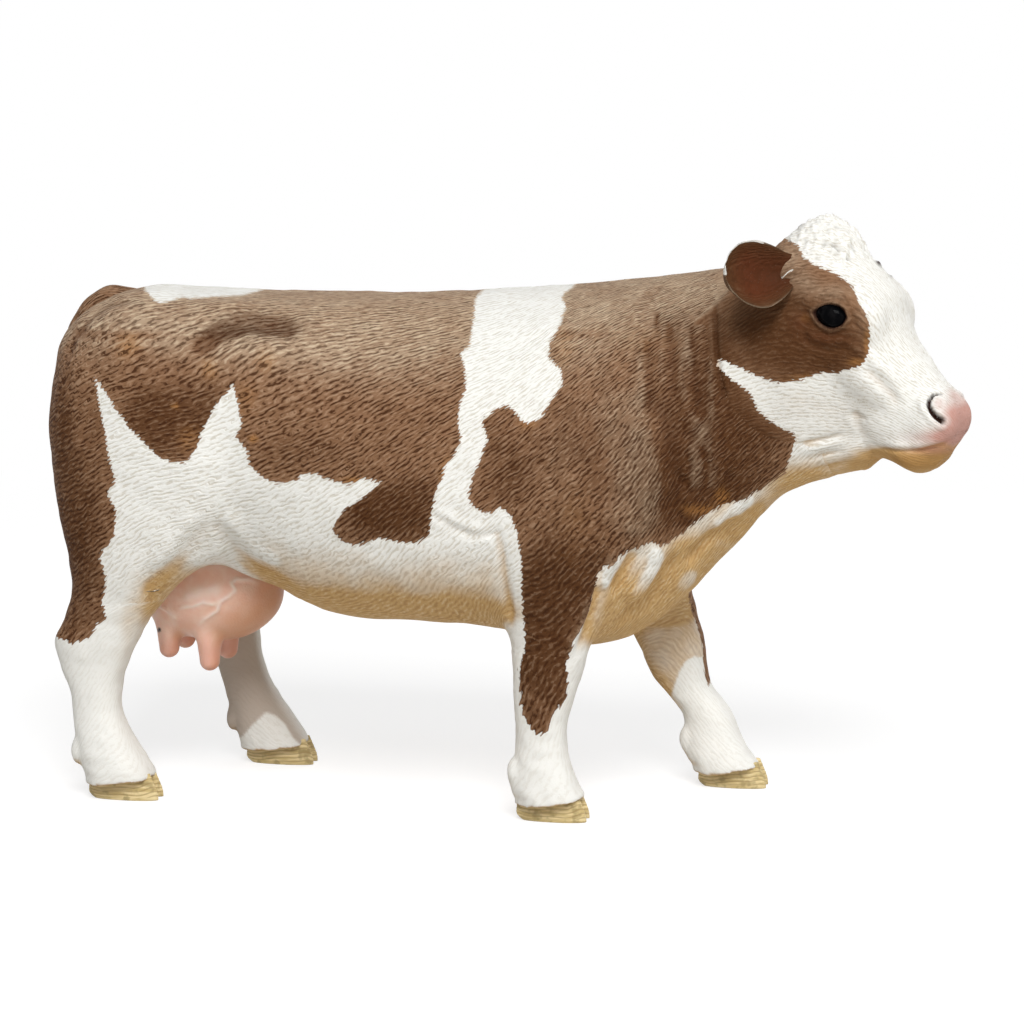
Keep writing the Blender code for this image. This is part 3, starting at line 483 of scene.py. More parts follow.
# Folds of the hide: width in pixels, rise in millimetres, then the points of the line
BODY_FOLDS = (
    (5, 0.40, (55, 372), (66, 338), (84, 313), (106, 296), (150, 290)),
    (4, -0.40, (64, 372), (75, 338), (92, 315), (114, 303), (150, 298)),
    (11, -0.75, (190, 362), (203, 343), (220, 329), (250, 321), (285, 326), (312, 331)),
    (9, 0.40, (196, 378), (215, 362), (250, 348), (300, 350)),
    (11, -0.50, (214, 516), (200, 536), (184, 556), (160, 580), (136, 604)),
    (8, -0.40, (208, 506), (216, 524), (232, 547), (254, 566), (282, 582), (306, 590)),
    (6, 0.45, (180, 572), (199, 560), (219, 553), (238, 564), (262, 582), (290, 598)),
    (9, 0.35, (196, 508), (176, 540), (150, 570)),
    (8, 0.35, (224, 505), (236, 530), (258, 552), (290, 568)),
    (2.6, -0.35, (426, 511), (441, 521), (454, 528), (469, 535), (484, 536), (505, 532)),
    (3, 0.22, (428, 505), (445, 515), (458, 521), (474, 529), (492, 529)),
    (4, -0.60, (494, 520), (501, 548), (505, 578), (509, 608), (512, 640)),
    (5, -0.50, (604, 552), (600, 580), (593, 608), (583, 636), (574, 668)),
    (4, 0.40, (592, 590), (584, 616), (572, 644), (566, 668)),
    (26, 0.60, (600, 380), (628, 430), (640, 490), (622, 550)),
    (12, -0.50, (650, 380), (668, 430), (676, 480), (668, 530)),
    (14, 0.35, (700, 400), (702, 450), (706, 500)),
    (3.0, 0.30, (633, 296), (635, 312), (636, 328)),
    (3.2, 0.35, (639, 350), (641, 378), (640, 408)),
    (4.0, -0.40, (646, 330), (650, 372), (650, 420)),
    (3.0, 0.38, (686, 330), (688, 348), (689, 366)),
    (3.2, -0.50, (690, 316), (693, 352), (697, 390), (699, 424)),
    (3.0, -0.50, (713, 292), (715, 318), (716, 348), (719, 373), (724, 398), (727, 424)),
    (3.2, -0.40, (706, 340), (705, 376), (703, 400), (702, 430)),
    (3.2, 0.30, (711, 350), (711, 390), (712, 424)),
    (4.5, -0.38, (666, 308), (672, 350), (674, 410)),
    (4.0, 0.30, (660, 320), (662, 360), (663, 400)),
    (3.6, 0.30, (679, 330), (682, 370), (684, 410)),
    (3.0, -0.50, (676, 470), (681, 479), (686, 488)),
    (5.0, -0.50, (731, 468), (727, 482), (720, 502)),
    (2.6, -0.35, (676, 510), (681, 516), (687, 523)),
    (7, 0.60, (617, 552), (606, 572), (599, 592)),
    (7, 0.65, (659, 543), (654, 566), (640, 590), (626, 604)),
    (7, 0.60, (700, 564), (680, 586), (664, 609), (646, 630)),
    (7, 0.50, (756, 492), (736, 510), (710, 533)),
    (5, -0.70, (638, 548), (624, 572), (610, 597)),
    (6, -0.80, (682, 548), (666, 572), (648, 600), (618, 624)),
    (6, -0.70, (742, 514), (706, 541), (684, 566)),
    (2.4, -0.40, (612, 628), (633, 608), (648, 596)),
    (2.4, -0.40, (714, 536), (698, 552), (684, 565)),
    (6, -0.40, (770, 500), (744, 522), (720, 548)),
    (2.4, -0.40, (796, 446), (814, 441), (834, 437), (852, 432)),
    (2.8, 0.30, (798, 453), (816, 448), (838, 443), (858, 440)),
    (2.4, -0.35, (804, 460), (826, 454), (848, 450)),
    (3.0, -0.30, (808, 472), (834, 465), (858, 459)),
    (3.0, 0.30, (690, 440), (694, 470), (690, 496)),
    (3.0, -0.40, (700, 440), (706, 468), (704, 494)),
    (3.4, -0.40, (655, 300), (658, 330), (660, 352)),
)
BODY_BOSSES = (
    (228, 308, 24, 9, 0.0006),
    (76, 372, 14, 26, 0.0004),
    (150, 420, 40, 60, 0.0006),
    (196, 470, 26, 40, 0.0004),
    (330, 430, 70, 70, 0.0004),
    (560, 470, 30, 60, 0.0003),
)

# Coat: the white parts of the right side and of the left side, and the white patch on the rump
RUMP_PATCH = (
    (140, 200), (145, 291), (152, 298), (160, 303), (168, 301), (176, 299), (184, 297),
    (191, 299), (204, 298), (220, 297), (243, 295), (259, 291), (262, 200),
)
HEAD_LOWER_EDGE = (
    (718, 359), (728, 362), (741, 368), (754, 375), (766, 380), (778, 383), (795, 381),
    (817, 374), (839, 372), (860, 366), (868, 353), (870, 332), (868, 317), (860, 304),
    (852, 286), (839, 275), (815, 265), (804, 258), (798, 245), (783, 237), (780, 120),
)
JAW_EDGE = (
    (766, 486), (786, 472), (794, 444), (796, 436), (770, 421), (758, 410), (750, 393),
    (725, 374), (717, 366),
)
OUTSIDE = ((1200, 100), (1200, 1000), (-200, 1000), (-200, 640))
RIGHT_WHITE = (
    (58, 637), (72, 644), (91, 637), (96, 625), (106, 619), (102, 601), (105, 591),
    (106, 576), (99, 557), (114, 536), (116, 509), (108, 495), (115, 479), (108, 451),
    (106, 433), (100, 407), (95, 376), (113, 403), (130, 427), (145, 442), (160, 457),
    (171, 461), (187, 462), (198, 447), (201, 435), (210, 416), (217, 403), (234, 385),
    (238, 403), (242, 425), (235, 436), (248, 451), (249, 464), (261, 476), (276, 483),
    (298, 480), (302, 474), (317, 473), (327, 479), (349, 485), (362, 478), (382, 482),
    (366, 496), (343, 510), (332, 529), (341, 541), (358, 546), (378, 538), (402, 542),
    (417, 543), (429, 535), (431, 517), (436, 490), (443, 476), (444, 468), (454, 456),
    (461, 439), (458, 425), (460, 403), (466, 388), (465, 370), (461, 354), (469, 345),
    (474, 317), (475, 299), (483, 290), (483, 200), (576, 200), (576, 284), (562, 296),
    (566, 307), (560, 325), (549, 343), (548, 358), (562, 370), (562, 384), (547, 407),
    (542, 417), (529, 424), (521, 421), (515, 411), (506, 405), (494, 411), (482, 422),
    (488, 439), (480, 460), (472, 478), (468, 496), (476, 511), (490, 513), (500, 507),
    (511, 515), (517, 533), (521, 560), (522, 593), (524, 627), (525, 644), (519, 671),
    (520, 701), (526, 721), (537, 736), (548, 730), (554, 715), (567, 696), (568, 676),
    (566, 667), (572, 644), (586, 619), (594, 597), (597, 576), (602, 568), (615, 560),
    (649, 542), (662, 546), (684, 533), (702, 517), (723, 505), (743, 499),
) + JAW_EDGE + HEAD_LOWER_EDGE + OUTSIDE
LEFT_WHITE = (
    (58, 637), (76, 640), (92, 622), (98, 590), (90, 560), (102, 528), (96, 500), (88, 470),
    (97, 436), (92, 404), (108, 384), (126, 398), (134, 424), (150, 452), (176, 474),
    (204, 468), (222, 446), (232, 420), (252, 406), (266, 420), (262, 446), (276, 470),
    (306, 492), (344, 496), (372, 508), (394, 500), (404, 474), (398, 446), (410, 424),
    (436, 420), (456, 436), (472, 420), (466, 394), (450, 370), (456, 340), (476, 318),
    (474, 300), (483, 290), (483, 200), (576, 200), (576, 284), (560, 300), (556, 324),
    (570, 346), (584, 366), (580, 392), (560, 410), (552, 438), (560, 466), (548, 492),
    (556, 520), (580, 540), (604, 566), (626, 596), (644, 630), (654, 664), (660, 700),
    (674, 722), (694, 720), (714, 690), (712, 656), (700, 622), (686, 590), (680, 566),
    (694, 546), (716, 534), (738, 512), (752, 500),
) + JAW_EDGE + HEAD_LOWER_EDGE + OUTSIDE
# Where the hide is tinted tan, partly tan paint and partly painted shade in the lee of the folds and
# along the belly: centre, reach, size
TAN_AND_SHADE_SPOTS = (
    (212, 540, 34, 28, -1.1),
    (300, 598, 50, 10, 0.40), (400, 606, 90, 9, 0.50), (480, 616, 60, 10, 0.50),
    (630, 606, 34, 26, 0.60), (690, 550, 26, 20, 0.60), (740, 520, 26, 18, 0.60),
    (640, 636, 40, 16, 0.85), (655, 595, 60, 40, 0.30), (790, 476, 24, 12, 0.30),
    (150, 604, 14, 18, 0.30), (126, 650, 9, 34, 0.35), (668, 600, 30, 24, 0.60),
    (124, 700, 8, 30, 0.25), (590, 640, 6, 30, 0.40),
)
# Where dry light paint is brushed over the brown, with painted highlight along the lit top of the
# back
DRYBRUSH_AND_HIGHLIGHT_SPOTS = (
    (120, 306, 46, 14, 0.8), (200, 306, 60, 12, 0.9), (330, 300, 110, 10, 0.9),
    (450, 298, 60, 12, 0.7), (610, 296, 60, 16, 0.7), (690, 290, 60, 14, 0.7),
    (600, 400, 40, 40, 0.15), (640, 500, 16, 50, 0.2), (230, 360, 26, 18, 0.4),
    (640, 380, 10, 40, 0.5), (688, 350, 8, 24, 0.6), (330, 355, 90, 30, 0.35),
    (90, 350, 26, 24, 0.35), (560, 470, 30, 50, 0.2), (716, 330, 6, 40, 0.4),
)
# Where the brown is darker, partly darker paint and partly painted shade: low on the barrel and the
# neck, on the foreleg and in the hip
DARK_AND_SHADED_SPOTS = (
    (390, 512, 60, 34, 1.1), (160, 420, 46, 45, 0.9), (76, 540, 30, 110, 0.9),
    (730, 440, 60, 60, 1.0), (690, 500, 60, 40, 1.0), (548, 650, 50, 90, 1.0),
    (570, 570, 70, 40, 0.6), (500, 470, 30, 40, 0.5), (735, 330, 22, 50, 1.0),
    (250, 330, 60, 10, 0.9), (215, 420, 20, 40, 0.5), (300, 450, 40, 20, 0.4),
    (690, 350, 40, 60, 0.45), (600, 440, 80, 70, 0.55), (60, 420, 14, 60, 0.6),
    (380, 430, 60, 30, 0.2),
)
# Where ochre shows through the brown
OCHRE_SPOTS = (
    (128, 345, 16, 14, 0.8), (210, 368, 10, 12, 0.8), (266, 360, 12, 14, 0.7),
    (254, 439, 5, 4, 1.0), (176, 406, 4, 3, 0.9), (246, 400, 14, 24, 0.5),
    (352, 480, 14, 5, 0.9), (190, 440, 14, 16, 0.5), (562, 345, 14, 24, 0.6),
    (528, 424, 12, 6, 0.7), (574, 520, 26, 60, 0.25), (722, 496, 8, 10, 0.9),
    (700, 510, 20, 8, 0.7), (640, 340, 40, 20, 0.3), (445, 470, 6, 16, 0.7),
)


def mirrored(points, middle):
    """Points with those left of the middle line swung over to the right side."""
    flipped = points.copy()
    flipped[:, 1] = middle - np.abs(points[:, 1] - middle)
    return flipped


def soft_step(value, start, end):
    """0 up to start, 1 from end on, and a smooth cubic between them."""
    t = np.clip((value - start) / (end - start), 0, 1)
    return t * t * (3 - 2 * t)


def neck_middle(points):
    """How far the trunk's middle lies sideways at each point."""
    return between(TRUNK_STATIONS, (points[:, 0] - RUMP_X) / TRUNK_LENGTH)[0] * TRUNK_LENGTH


def coat_marks(points, spots, left_share):
    """How far inside the brown coat each point lies, in pixels of the picture: the outline of
    the right side passes to that of the left side with left_share."""
    right = -inside_outline(spots, RIGHT_WHITE)
    left = -inside_outline(spots, LEFT_WHITE)
    brown = right + (left - right) * left_share
    return np.minimum(brown, -inside_outline(spots, RUMP_PATCH))


# Lie of the hair: a place in the picture, and how many degrees the hair rises forwards there
HAIR_LIE = (
    (70, 340, 30), (70, 440, 40), (80, 560, 45), (130, 330, 12), (150, 400, 14), (170, 450, 10),
    (210, 340, 24), (230, 400, 32), (300, 300, 2), (300, 340, 6), (300, 400, 22), (300, 460, 32),
    (420, 300, 0), (400, 350, 16), (390, 400, 30), (380, 460, 37), (430, 450, 42), (360, 520, 36),
    (250, 520, 14), (320, 560, 20), (420, 540, 38), (400, 590, 28), (470, 470, 46), (460, 360, 34),
    (560, 320, 60), (600, 380, 60), (560, 450, 62), (610, 460, 66), (640, 520, 68), (680, 380, 54),
    (680, 310, 40), (720, 430, 62), (760, 450, 50), (720, 340, 34), (560, 600, 66), (550, 680, 76),
    (660, 580, 56), (110, 700, 60), (270, 700, -50), (700, 700, -55), (200, 580, 30),
    (760, 490, 32),
)
HAIR_LIE_REACH = 42.0
COMB_ROUNDS = 360
COMB_GRIP = 0.08


def hair_lie(spots, table, reach):
    """Direction of the hair in the world: the slopes of the table, each weighed by its nearness,
    a bell curve of the distance in the picture."""
    total, weights = np.zeros(len(spots)), np.full(len(spots), 1e-9)
    for x, y, angle in table:
        weight = np.exp(-((spots[:, 0] - x) ** 2 + (spots[:, 1] - y) ** 2) / (2 * reach**2)) + 1e-6
        total, weights = total + weight * math.radians(angle), weights + weight
    angle = total / weights
    return np.stack((np.cos(angle), np.zeros(len(spots)), np.sin(angle)), axis=1)


def combed(points, faces, normals, lie):
    """How far up the skin each point lies across the hair, in metres. Its slope is square to the
    hair wherever it can be: the least squares answer on the mesh's edges, found from a polynomial
    by conjugate gradients. It climbs on both sides, so that it meets itself along the back."""
    across = np.cross(normals, lie) * np.where(normals[:, 1:2] < 0, 1, -1)
    across /= np.maximum(np.linalg.norm(across, axis=1, keepdims=True), 1e-6)
    edges = np.sort(np.concatenate([faces[:, [i, (i + 1) % 4]] for i in range(4)]), axis=1)
    start, end = np.unique(edges, axis=0).T
    run = points[end] - points[start]
    climb = ((across[start] + across[end]) / 2 * run).sum(axis=1)
    # Edges along the hair count most, so that its direction holds where its spacing can not
    drop = climb / np.linalg.norm(run, axis=1)
    grip = COMB_GRIP + (1 - np.minimum(drop * drop, 1)) ** 2

    def gathered(values):
        return np.bincount(end, values, len(points)) - np.bincount(start, values, len(points))

    place = points - points.mean(axis=0)
    along, sideways, up = (place / np.abs(place).max(axis=0)).T
    powers = [(i, j, 2 * k) for i in range(5) for j in range(4) for k in range(2)]
    forms = np.stack([along**i * up**j * sideways**k for i, j, k in powers], axis=1)
    gains = forms[end] - forms[start]
    pulls = gains * grip[:, None]
    height = forms @ np.linalg.lstsq(pulls.T @ gains, pulls.T @ climb, rcond=1e-9)[0]
    left = gathered((climb - height[end] + height[start]) * grip)
    step, size = left, left @ left
    for _ in range(COMB_ROUNDS):
        pull = gathered((step[end] - step[start]) * grip)
        reach = size / (step @ pull)
        height, left = height + reach * step, left - reach * pull
        step, size = left + (left @ left) / size * step, left @ left
    return height


def make_piece(name, points, faces, marks, finish, nodes):
    """A smooth mesh object with its marks as attributes, which rides on the figure."""
    data = bpy.data.meshes.new(name)
    data.from_pydata(points.tolist(), [], faces if isinstance(faces, list) else faces.tolist())
    for mark, values in marks.items():
        attribute = data.attributes.new(mark, "FLOAT", "POINT")
        attribute.data.foreach_set("value", np.asarray(values, np.float32))
    data.materials.append(finish.material)
    data.shade_smooth()
    made = bpy.data.objects.new(name, data)
    bpy.context.scene.collection.objects.link(made)
    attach(made, "root")
    if nodes:
        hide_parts(*nodes)
    return made


# The paint: brown and white coats in one, parted along the coat outlines by the strokes of the
# hair. Light dry-brushed paint on the hair's crests and a tan wash in the hollows are partly the
# figure's own paint and partly painted light: painted highlight on crests and upward faces, and
# painted shade in the hair's grooves, in the folds, on the undersides and low on the barrel.

BROWN = (0.235, 0.124, 0.066)
BROWN_GROOVE = (0.052, 0.018, 0.006)
BROWN_CREST = (0.420, 0.270, 0.170)
BROWN_DARK_AND_SHADED = (0.082, 0.032, 0.011)
DRYBRUSH_AND_HIGHLIGHT = (0.600, 0.470, 0.330)
OCHRE = (0.400, 0.180, 0.050)
RUDDY = (0.092, 0.024, 0.009)
WHITE = (0.830, 0.825, 0.790)
WHITE_GROOVE_SHADE = (0.500, 0.445, 0.350)
TAN = (0.560, 0.345, 0.130)
TAN_CREST = (0.750, 0.590, 0.360)
TAN_GROOVE = (0.400, 0.215, 0.070)
GREY_TAN = (0.400, 0.310, 0.240)
MUZZLE_PINK = (0.520, 0.235, 0.185)
DARK_PIT = (0.030, 0.012, 0.008)
LIGHT_SPECK = (0.750, 0.680, 0.560)
HAIR_PITCH = 0.00039
HAIR_BEND = 1.6
HAIR_RELIEF = 0.00016
EDGE_TEETH = 4.5


def drawn_out(finish, length, width, offset):
    """Noise drawn out along the hair: the place in units of length, with the way across the
    hair, in units of width, added to it."""
    place, comb = finish.place(), finish.attribute("comb")
    place = finish.vectors("MULTIPLY", place, (1 / length,) * 3)
    across = finish.node("ShaderNodeCombineXYZ", {}, {0: offset, 1: comb * (1 / width), 2: offset})
    return finish.noise(finish.vectors("ADD", place, across), 1.0, 1.0)


def hair_height(finish, pitch):
    """Relief of the hair, about 0.5 high: waves a pitch apart across the hair, which drawn-out
    noise bends, and to which broad locks and fine strands of drawn-out noise are added."""
    bend = drawn_out(finish, 5.0 * pitch, 2.6 * pitch, 0.0)
    locks = drawn_out(finish, 3.0 * pitch, 0.62 * pitch, 7.3)
    strands = drawn_out(finish, 1.7 * pitch, 0.36 * pitch, 3.1)
    turns = finish.attribute("comb") * (1 / pitch) + bend * HAIR_BEND
    wave = (turns * (2 * math.pi)).math("SINE")
    return wave * 0.24 + (locks - 0.5) * 1.1 + (strands - 0.5) * 0.8 + 0.5


def coat_finish(name, pitch, relief, contrast):
    """The coat's paint: brown and white, each with its crests, grooves and stains, the crests
    lighter and the grooves darker partly as painted highlight and shade, and the two parted where
    the coat mark passes zero, which the hair's relief shifts to and fro."""
    finish = Finish(name, {"Roughness": 0.6, "Specular IOR Level": 0.06})
    height = hair_height(finish, pitch)
    fine = finish.noise(finish.place(), 5200.0, 2.0)
    broad = finish.noise(finish.place(), 260.0, 3.0)
    warm, dry, shade_and_stain, dark = (finish.attribute(mark) for mark in ("warm", "dry", "shade_and_stain", "dark"))
    ochre, grey, pink, dark_and_shaded = (finish.attribute(mark) for mark in ("ochre", "grey", "pink", "dark_and_shaded"))
    ruddy, sleek = finish.attribute("ruddy"), finish.attribute("sleek")
    # The hair's crests are painted lighter and its grooves darker: partly the figure's own dry
    # brushing and wash, partly painted highlight and painted shade of the relief
    crest = height.ramp(0.56, 0.94) * contrast
    groove = height.ramp(0.46, 0.16) * contrast
    edge = finish.attribute("coat") + (height - 0.5) * EDGE_TEETH + (broad - 0.5) * 2.0
    is_brown = edge.ramp(-0.6, 0.6)

    # Darker brown where the marks say: partly darker paint, partly painted shade low on the body
    brown = finish.mix((dark_and_shaded + (broad - 0.5) * 0.9).ramp(0.0, 1.0) * 0.95, BROWN, BROWN_DARK_AND_SHADED)
    brown = finish.mix(crest * (0.58 - dark_and_shaded * 0.34), brown, BROWN_CREST)
    brown = finish.mix((ochre * (broad * 1.2 + 0.2)).ramp(0.05, 0.8) * 0.6, brown, OCHRE)
    brown = finish.mix(ruddy, brown, RUDDY)
    # Light paint on marked crests and upward faces, partly dry brushing and partly painted
    # highlight; then painted shade in the hair's grooves and the fold hollows
    brown = finish.mix(dry * (crest * 0.5 + broad * 0.8), brown, DRYBRUSH_AND_HIGHLIGHT)
    brown = finish.mix(groove * (0.92 - dry * 0.25), brown, BROWN_GROOVE)
    brown = finish.mix(shade_and_stain * 0.7, brown, BROWN_GROOVE)

    # Tan on the white, partly tan paint and partly painted shade on undersides and in folds; painted
    # shade also in the white hair's grooves
    tanned = (warm + (broad - 0.5) * 0.4).ramp(0.10, 0.95)
    white = finish.mix(height.ramp(0.56, 0.12) * (0.55 - sleek * 0.38), WHITE, WHITE_GROOVE_SHADE)
    tan = finish.mix(crest * 0.55, TAN, TAN_CREST)
    tan = finish.mix(groove * 0.65, tan, TAN_GROOVE)
    white = finish.mix(tanned * 0.95, white, tan)
    white = finish.mix(shade_and_stain * 0.9, white, TAN_GROOVE)
    white = finish.mix(grey, white, GREY_TAN)
    white = finish.mix(pink, white, MUZZLE_PINK)
    colour = finish.mix(is_brown, white, brown)
    colour = finish.mix((fine - 0.5).ramp(0.12, 0.3) * 0.08, colour, LIGHT_SPECK)
    colour = finish.mix(dark, colour, DARK_PIT)
    finish.feed("Base Color", colour)
    finish.feed("Roughness", 0.64 - crest * 0.10)
    strands = (height - 0.5) * (is_brown * 0.55 + tanned * 0.15 + 0.45 - sleek * 0.25)
    finish.feed("Normal", finish.bump(strands + fine * 0.16, relief))
    return finish


coat_paint = coat_finish("coat_paint", HAIR_PITCH, HAIR_RELIEF, 1.0)


# The legs: solid soft plastic with the thighs and the shoulders moulded in one with the trunk,
# and the lower legs apart. Their sizes come here, because the trunk's hide takes in their tops.

FORELEG_LENGTH, FORELEG_DEPTH, FORELEG_WIDTH = 0.067, 0.0104, 0.0090
HINDLEG_LENGTH, HINDLEG_DEPTH, HINDLEG_WIDTH = 0.066, 0.0108, 0.0090
FORE_TRACK, HIND_TRACK = 0.02461, 0.0256
FORE_STRIDE, HIND_STRIDE = 0.0218, 0.0158
FORELEG_SEAM_SHARE, HINDLEG_SEAM_SHARE = 0.340, 0.424
LEG_SQUARENESS = 2.3
# Height, place along the trunk, half length, half width, distance from the middle
FORELEG_STATIONS = (
    (0.000, 0.6487, 0.98, 0.98, 1.00),
    (0.022, 0.6479, 1.00, 1.00, 1.00),
    (0.045, 0.6454, 0.92, 0.96, 1.00),
    (0.064, 0.6403, 0.91, 0.96, 1.00),
    (0.104, 0.6370, 0.79, 0.87, 1.00),
    (0.149, 0.6345, 0.70, 0.78, 1.00),
    (0.201, 0.6345, 0.69, 0.76, 1.00),
    (0.261, 0.6378, 0.82, 0.87, 1.00),
    (0.313, 0.6420, 0.93, 0.93, 1.00),
    (0.388, 0.6462, 1.08, 1.04, 1.01),
    (0.463, 0.6521, 1.21, 1.20, 1.02),
    (0.552, 0.6571, 1.50, 1.42, 1.00),
    (0.657, 0.6622, 1.96, 1.69, 0.94),
    (0.776, 0.6597, 2.02, 1.78, 0.90),
    (0.896, 0.6513, 1.63, 1.56, 0.77),
    (1.000, 0.6429, 0.96, 1.00, 0.57),
)
HINDLEG_STATIONS = (
    (0.000, 0.1261, 0.98, 0.96, 1.00),
    (0.023, 0.1236, 1.00, 1.00, 1.00),
    (0.048, 0.1185, 0.92, 0.96, 1.00),
    (0.068, 0.1143, 0.91, 0.98, 1.00),
    (0.120, 0.1017, 0.80, 0.89, 1.00),
    (0.174, 0.0933, 0.67, 0.78, 1.00),
    (0.236, 0.0899, 0.67, 0.76, 1.00),
    (0.295, 0.0883, 0.92, 0.84, 1.00),
    (0.339, 0.0910, 1.10, 0.96, 1.00),
    (0.394, 0.1062, 1.14, 1.07, 0.98),
    (0.455, 0.1252, 1.33, 1.29, 0.97),
    (0.530, 0.1470, 1.87, 1.60, 0.97),
    (0.621, 0.1650, 2.50, 1.82, 0.97),
    (0.727, 0.1705, 2.70, 1.93, 0.94),
    (0.833, 0.1615, 2.50, 1.82, 0.90),
    (0.924, 0.1529, 1.96, 1.56, 0.82),
    (1.000, 0.1462, 1.20, 1.11, 0.74),
)
# How far a leg that steps forward is swung at each share of its height
FORE_SWING = (
    (0.000, 1.00), (0.080, 0.94), (0.160, 0.89), (0.224, 0.73), (0.310, 0.61),
    (0.403, 0.46), (0.522, 0.28), (0.657, 0.14), (0.821, 0.00), (1.000, 0.00),
)
HIND_SWING = (
    (0.000, 1.00), (0.120, 0.96), (0.227, 0.87), (0.333, 0.66), (0.455, 0.34),
    (0.606, 0.12), (0.758, 0.00), (1.000, 0.00),
)


class Leg:
    """The sizes of one leg. side is -1 on the cow's right and +1 on its left, which steps."""

    def __init__(self, name, fore, side):
        self.name, self.fore, self.side = name, fore, side
        self.length = FORELEG_LENGTH if fore else HINDLEG_LENGTH
        self.depth = FORELEG_DEPTH if fore else HINDLEG_DEPTH
        self.width = FORELEG_WIDTH if fore else HINDLEG_WIDTH
        self.track = FORE_TRACK if fore else HIND_TRACK
        self.stride = (FORE_STRIDE if fore else HIND_STRIDE) if side > 0 else 0.0
        self.stations = FORELEG_STATIONS if fore else HINDLEG_STATIONS
        self.swing = FORE_SWING if fore else HIND_SWING
        self.seam = (FORELEG_SEAM_SHARE if fore else HINDLEG_SEAM_SHARE) * self.length

    def sizes(self, heights):
        """Middle along X, middle sideways, half length and half width at the heights."""
        shares = heights / self.length
        along, half_length, half_width, spread = between(self.stations, shares)
        (swing,) = between(self.swing, shares)
        return (
            RUMP_X + along * TRUNK_LENGTH + swing * self.stride,
            spread * self.side * self.track / 2,
            half_length * self.depth / 2,
            half_width * self.width / 2,
        )

    def distance(self, x, y, z, cell):
        """Distance outside the leg's sweep along Z."""
        middle_x, middle_y, length, width = (v.reshape(1, 1, -1) for v in self.sizes(z.ravel()))
        square = np.full(middle_x.shape, LEG_SQUARENESS)
        swept = sweep_distance(x - middle_x, y - middle_y, length, width, width, square, square)
        return as_distance(np.maximum(swept, np.maximum(-z, z - self.length)), cell)


LEGS = [
    Leg("foreleg_right", True, -1),
    Leg("foreleg_left", True, 1),
    Leg("hindleg_right", False, -1),
    Leg("hindleg_left", False, 1),
]
LEG_REACH = 0.0026
# Which way the outer side of the left legs faces, and how softly the brown ends there
OUTER_LEAN, OUTER_PIXELS = 0.30, 25.0
# Where the thin paint on the inner side of the left legs looks tan or grey, as outlines
BARE_FORE = (
    (600, 560), (720, 560), (720, 640), (705, 658), (694, 657), (686, 661), (680, 672), (673, 690),
    (668, 700), (672, 715), (676, 732), (640, 720), (600, 640),
)
BARE_HIND = (
    (200, 560), (330, 560), (330, 750), (300, 745), (293, 738), (285, 724), (275, 715), (266, 712),
    (250, 727), (244, 735), (232, 745), (200, 700),
)
LEG_OVERLAP = 0.0030
LEG_LAP = 0.00005
LEG_TUCK = 0.00015


def figure_distance(x, y, z, cell):
    """Distance outside the trunk and the whole legs, and outside each leg alone."""
    trunk = trunk_distance(x, y, z, cell)
    legs = [leg.distance(x, y, z, cell) for leg in LEGS]
    joined = [blended(trunk, leg, SHOULDER_BLEND) for leg in legs]
    return np.minimum.reduce(joined), legs


low = (RUMP_X - 0.003, -0.026, 0.0195)
high = (RUMP_X + TRUNK_LENGTH + 0.003, 0.026, 0.079)
x, y, z = grid(low, high, TRUNK_CELL)
skin, legs_apart = figure_distance(x, y, z, TRUNK_CELL)
for leg, apart in zip(LEGS, legs_apart):
    skin = np.maximum(skin, -np.maximum(z - leg.seam, apart - LEG_REACH))
trunk_points, trunk_faces = skin_of(skin, low, TRUNK_CELL, rounds=4)


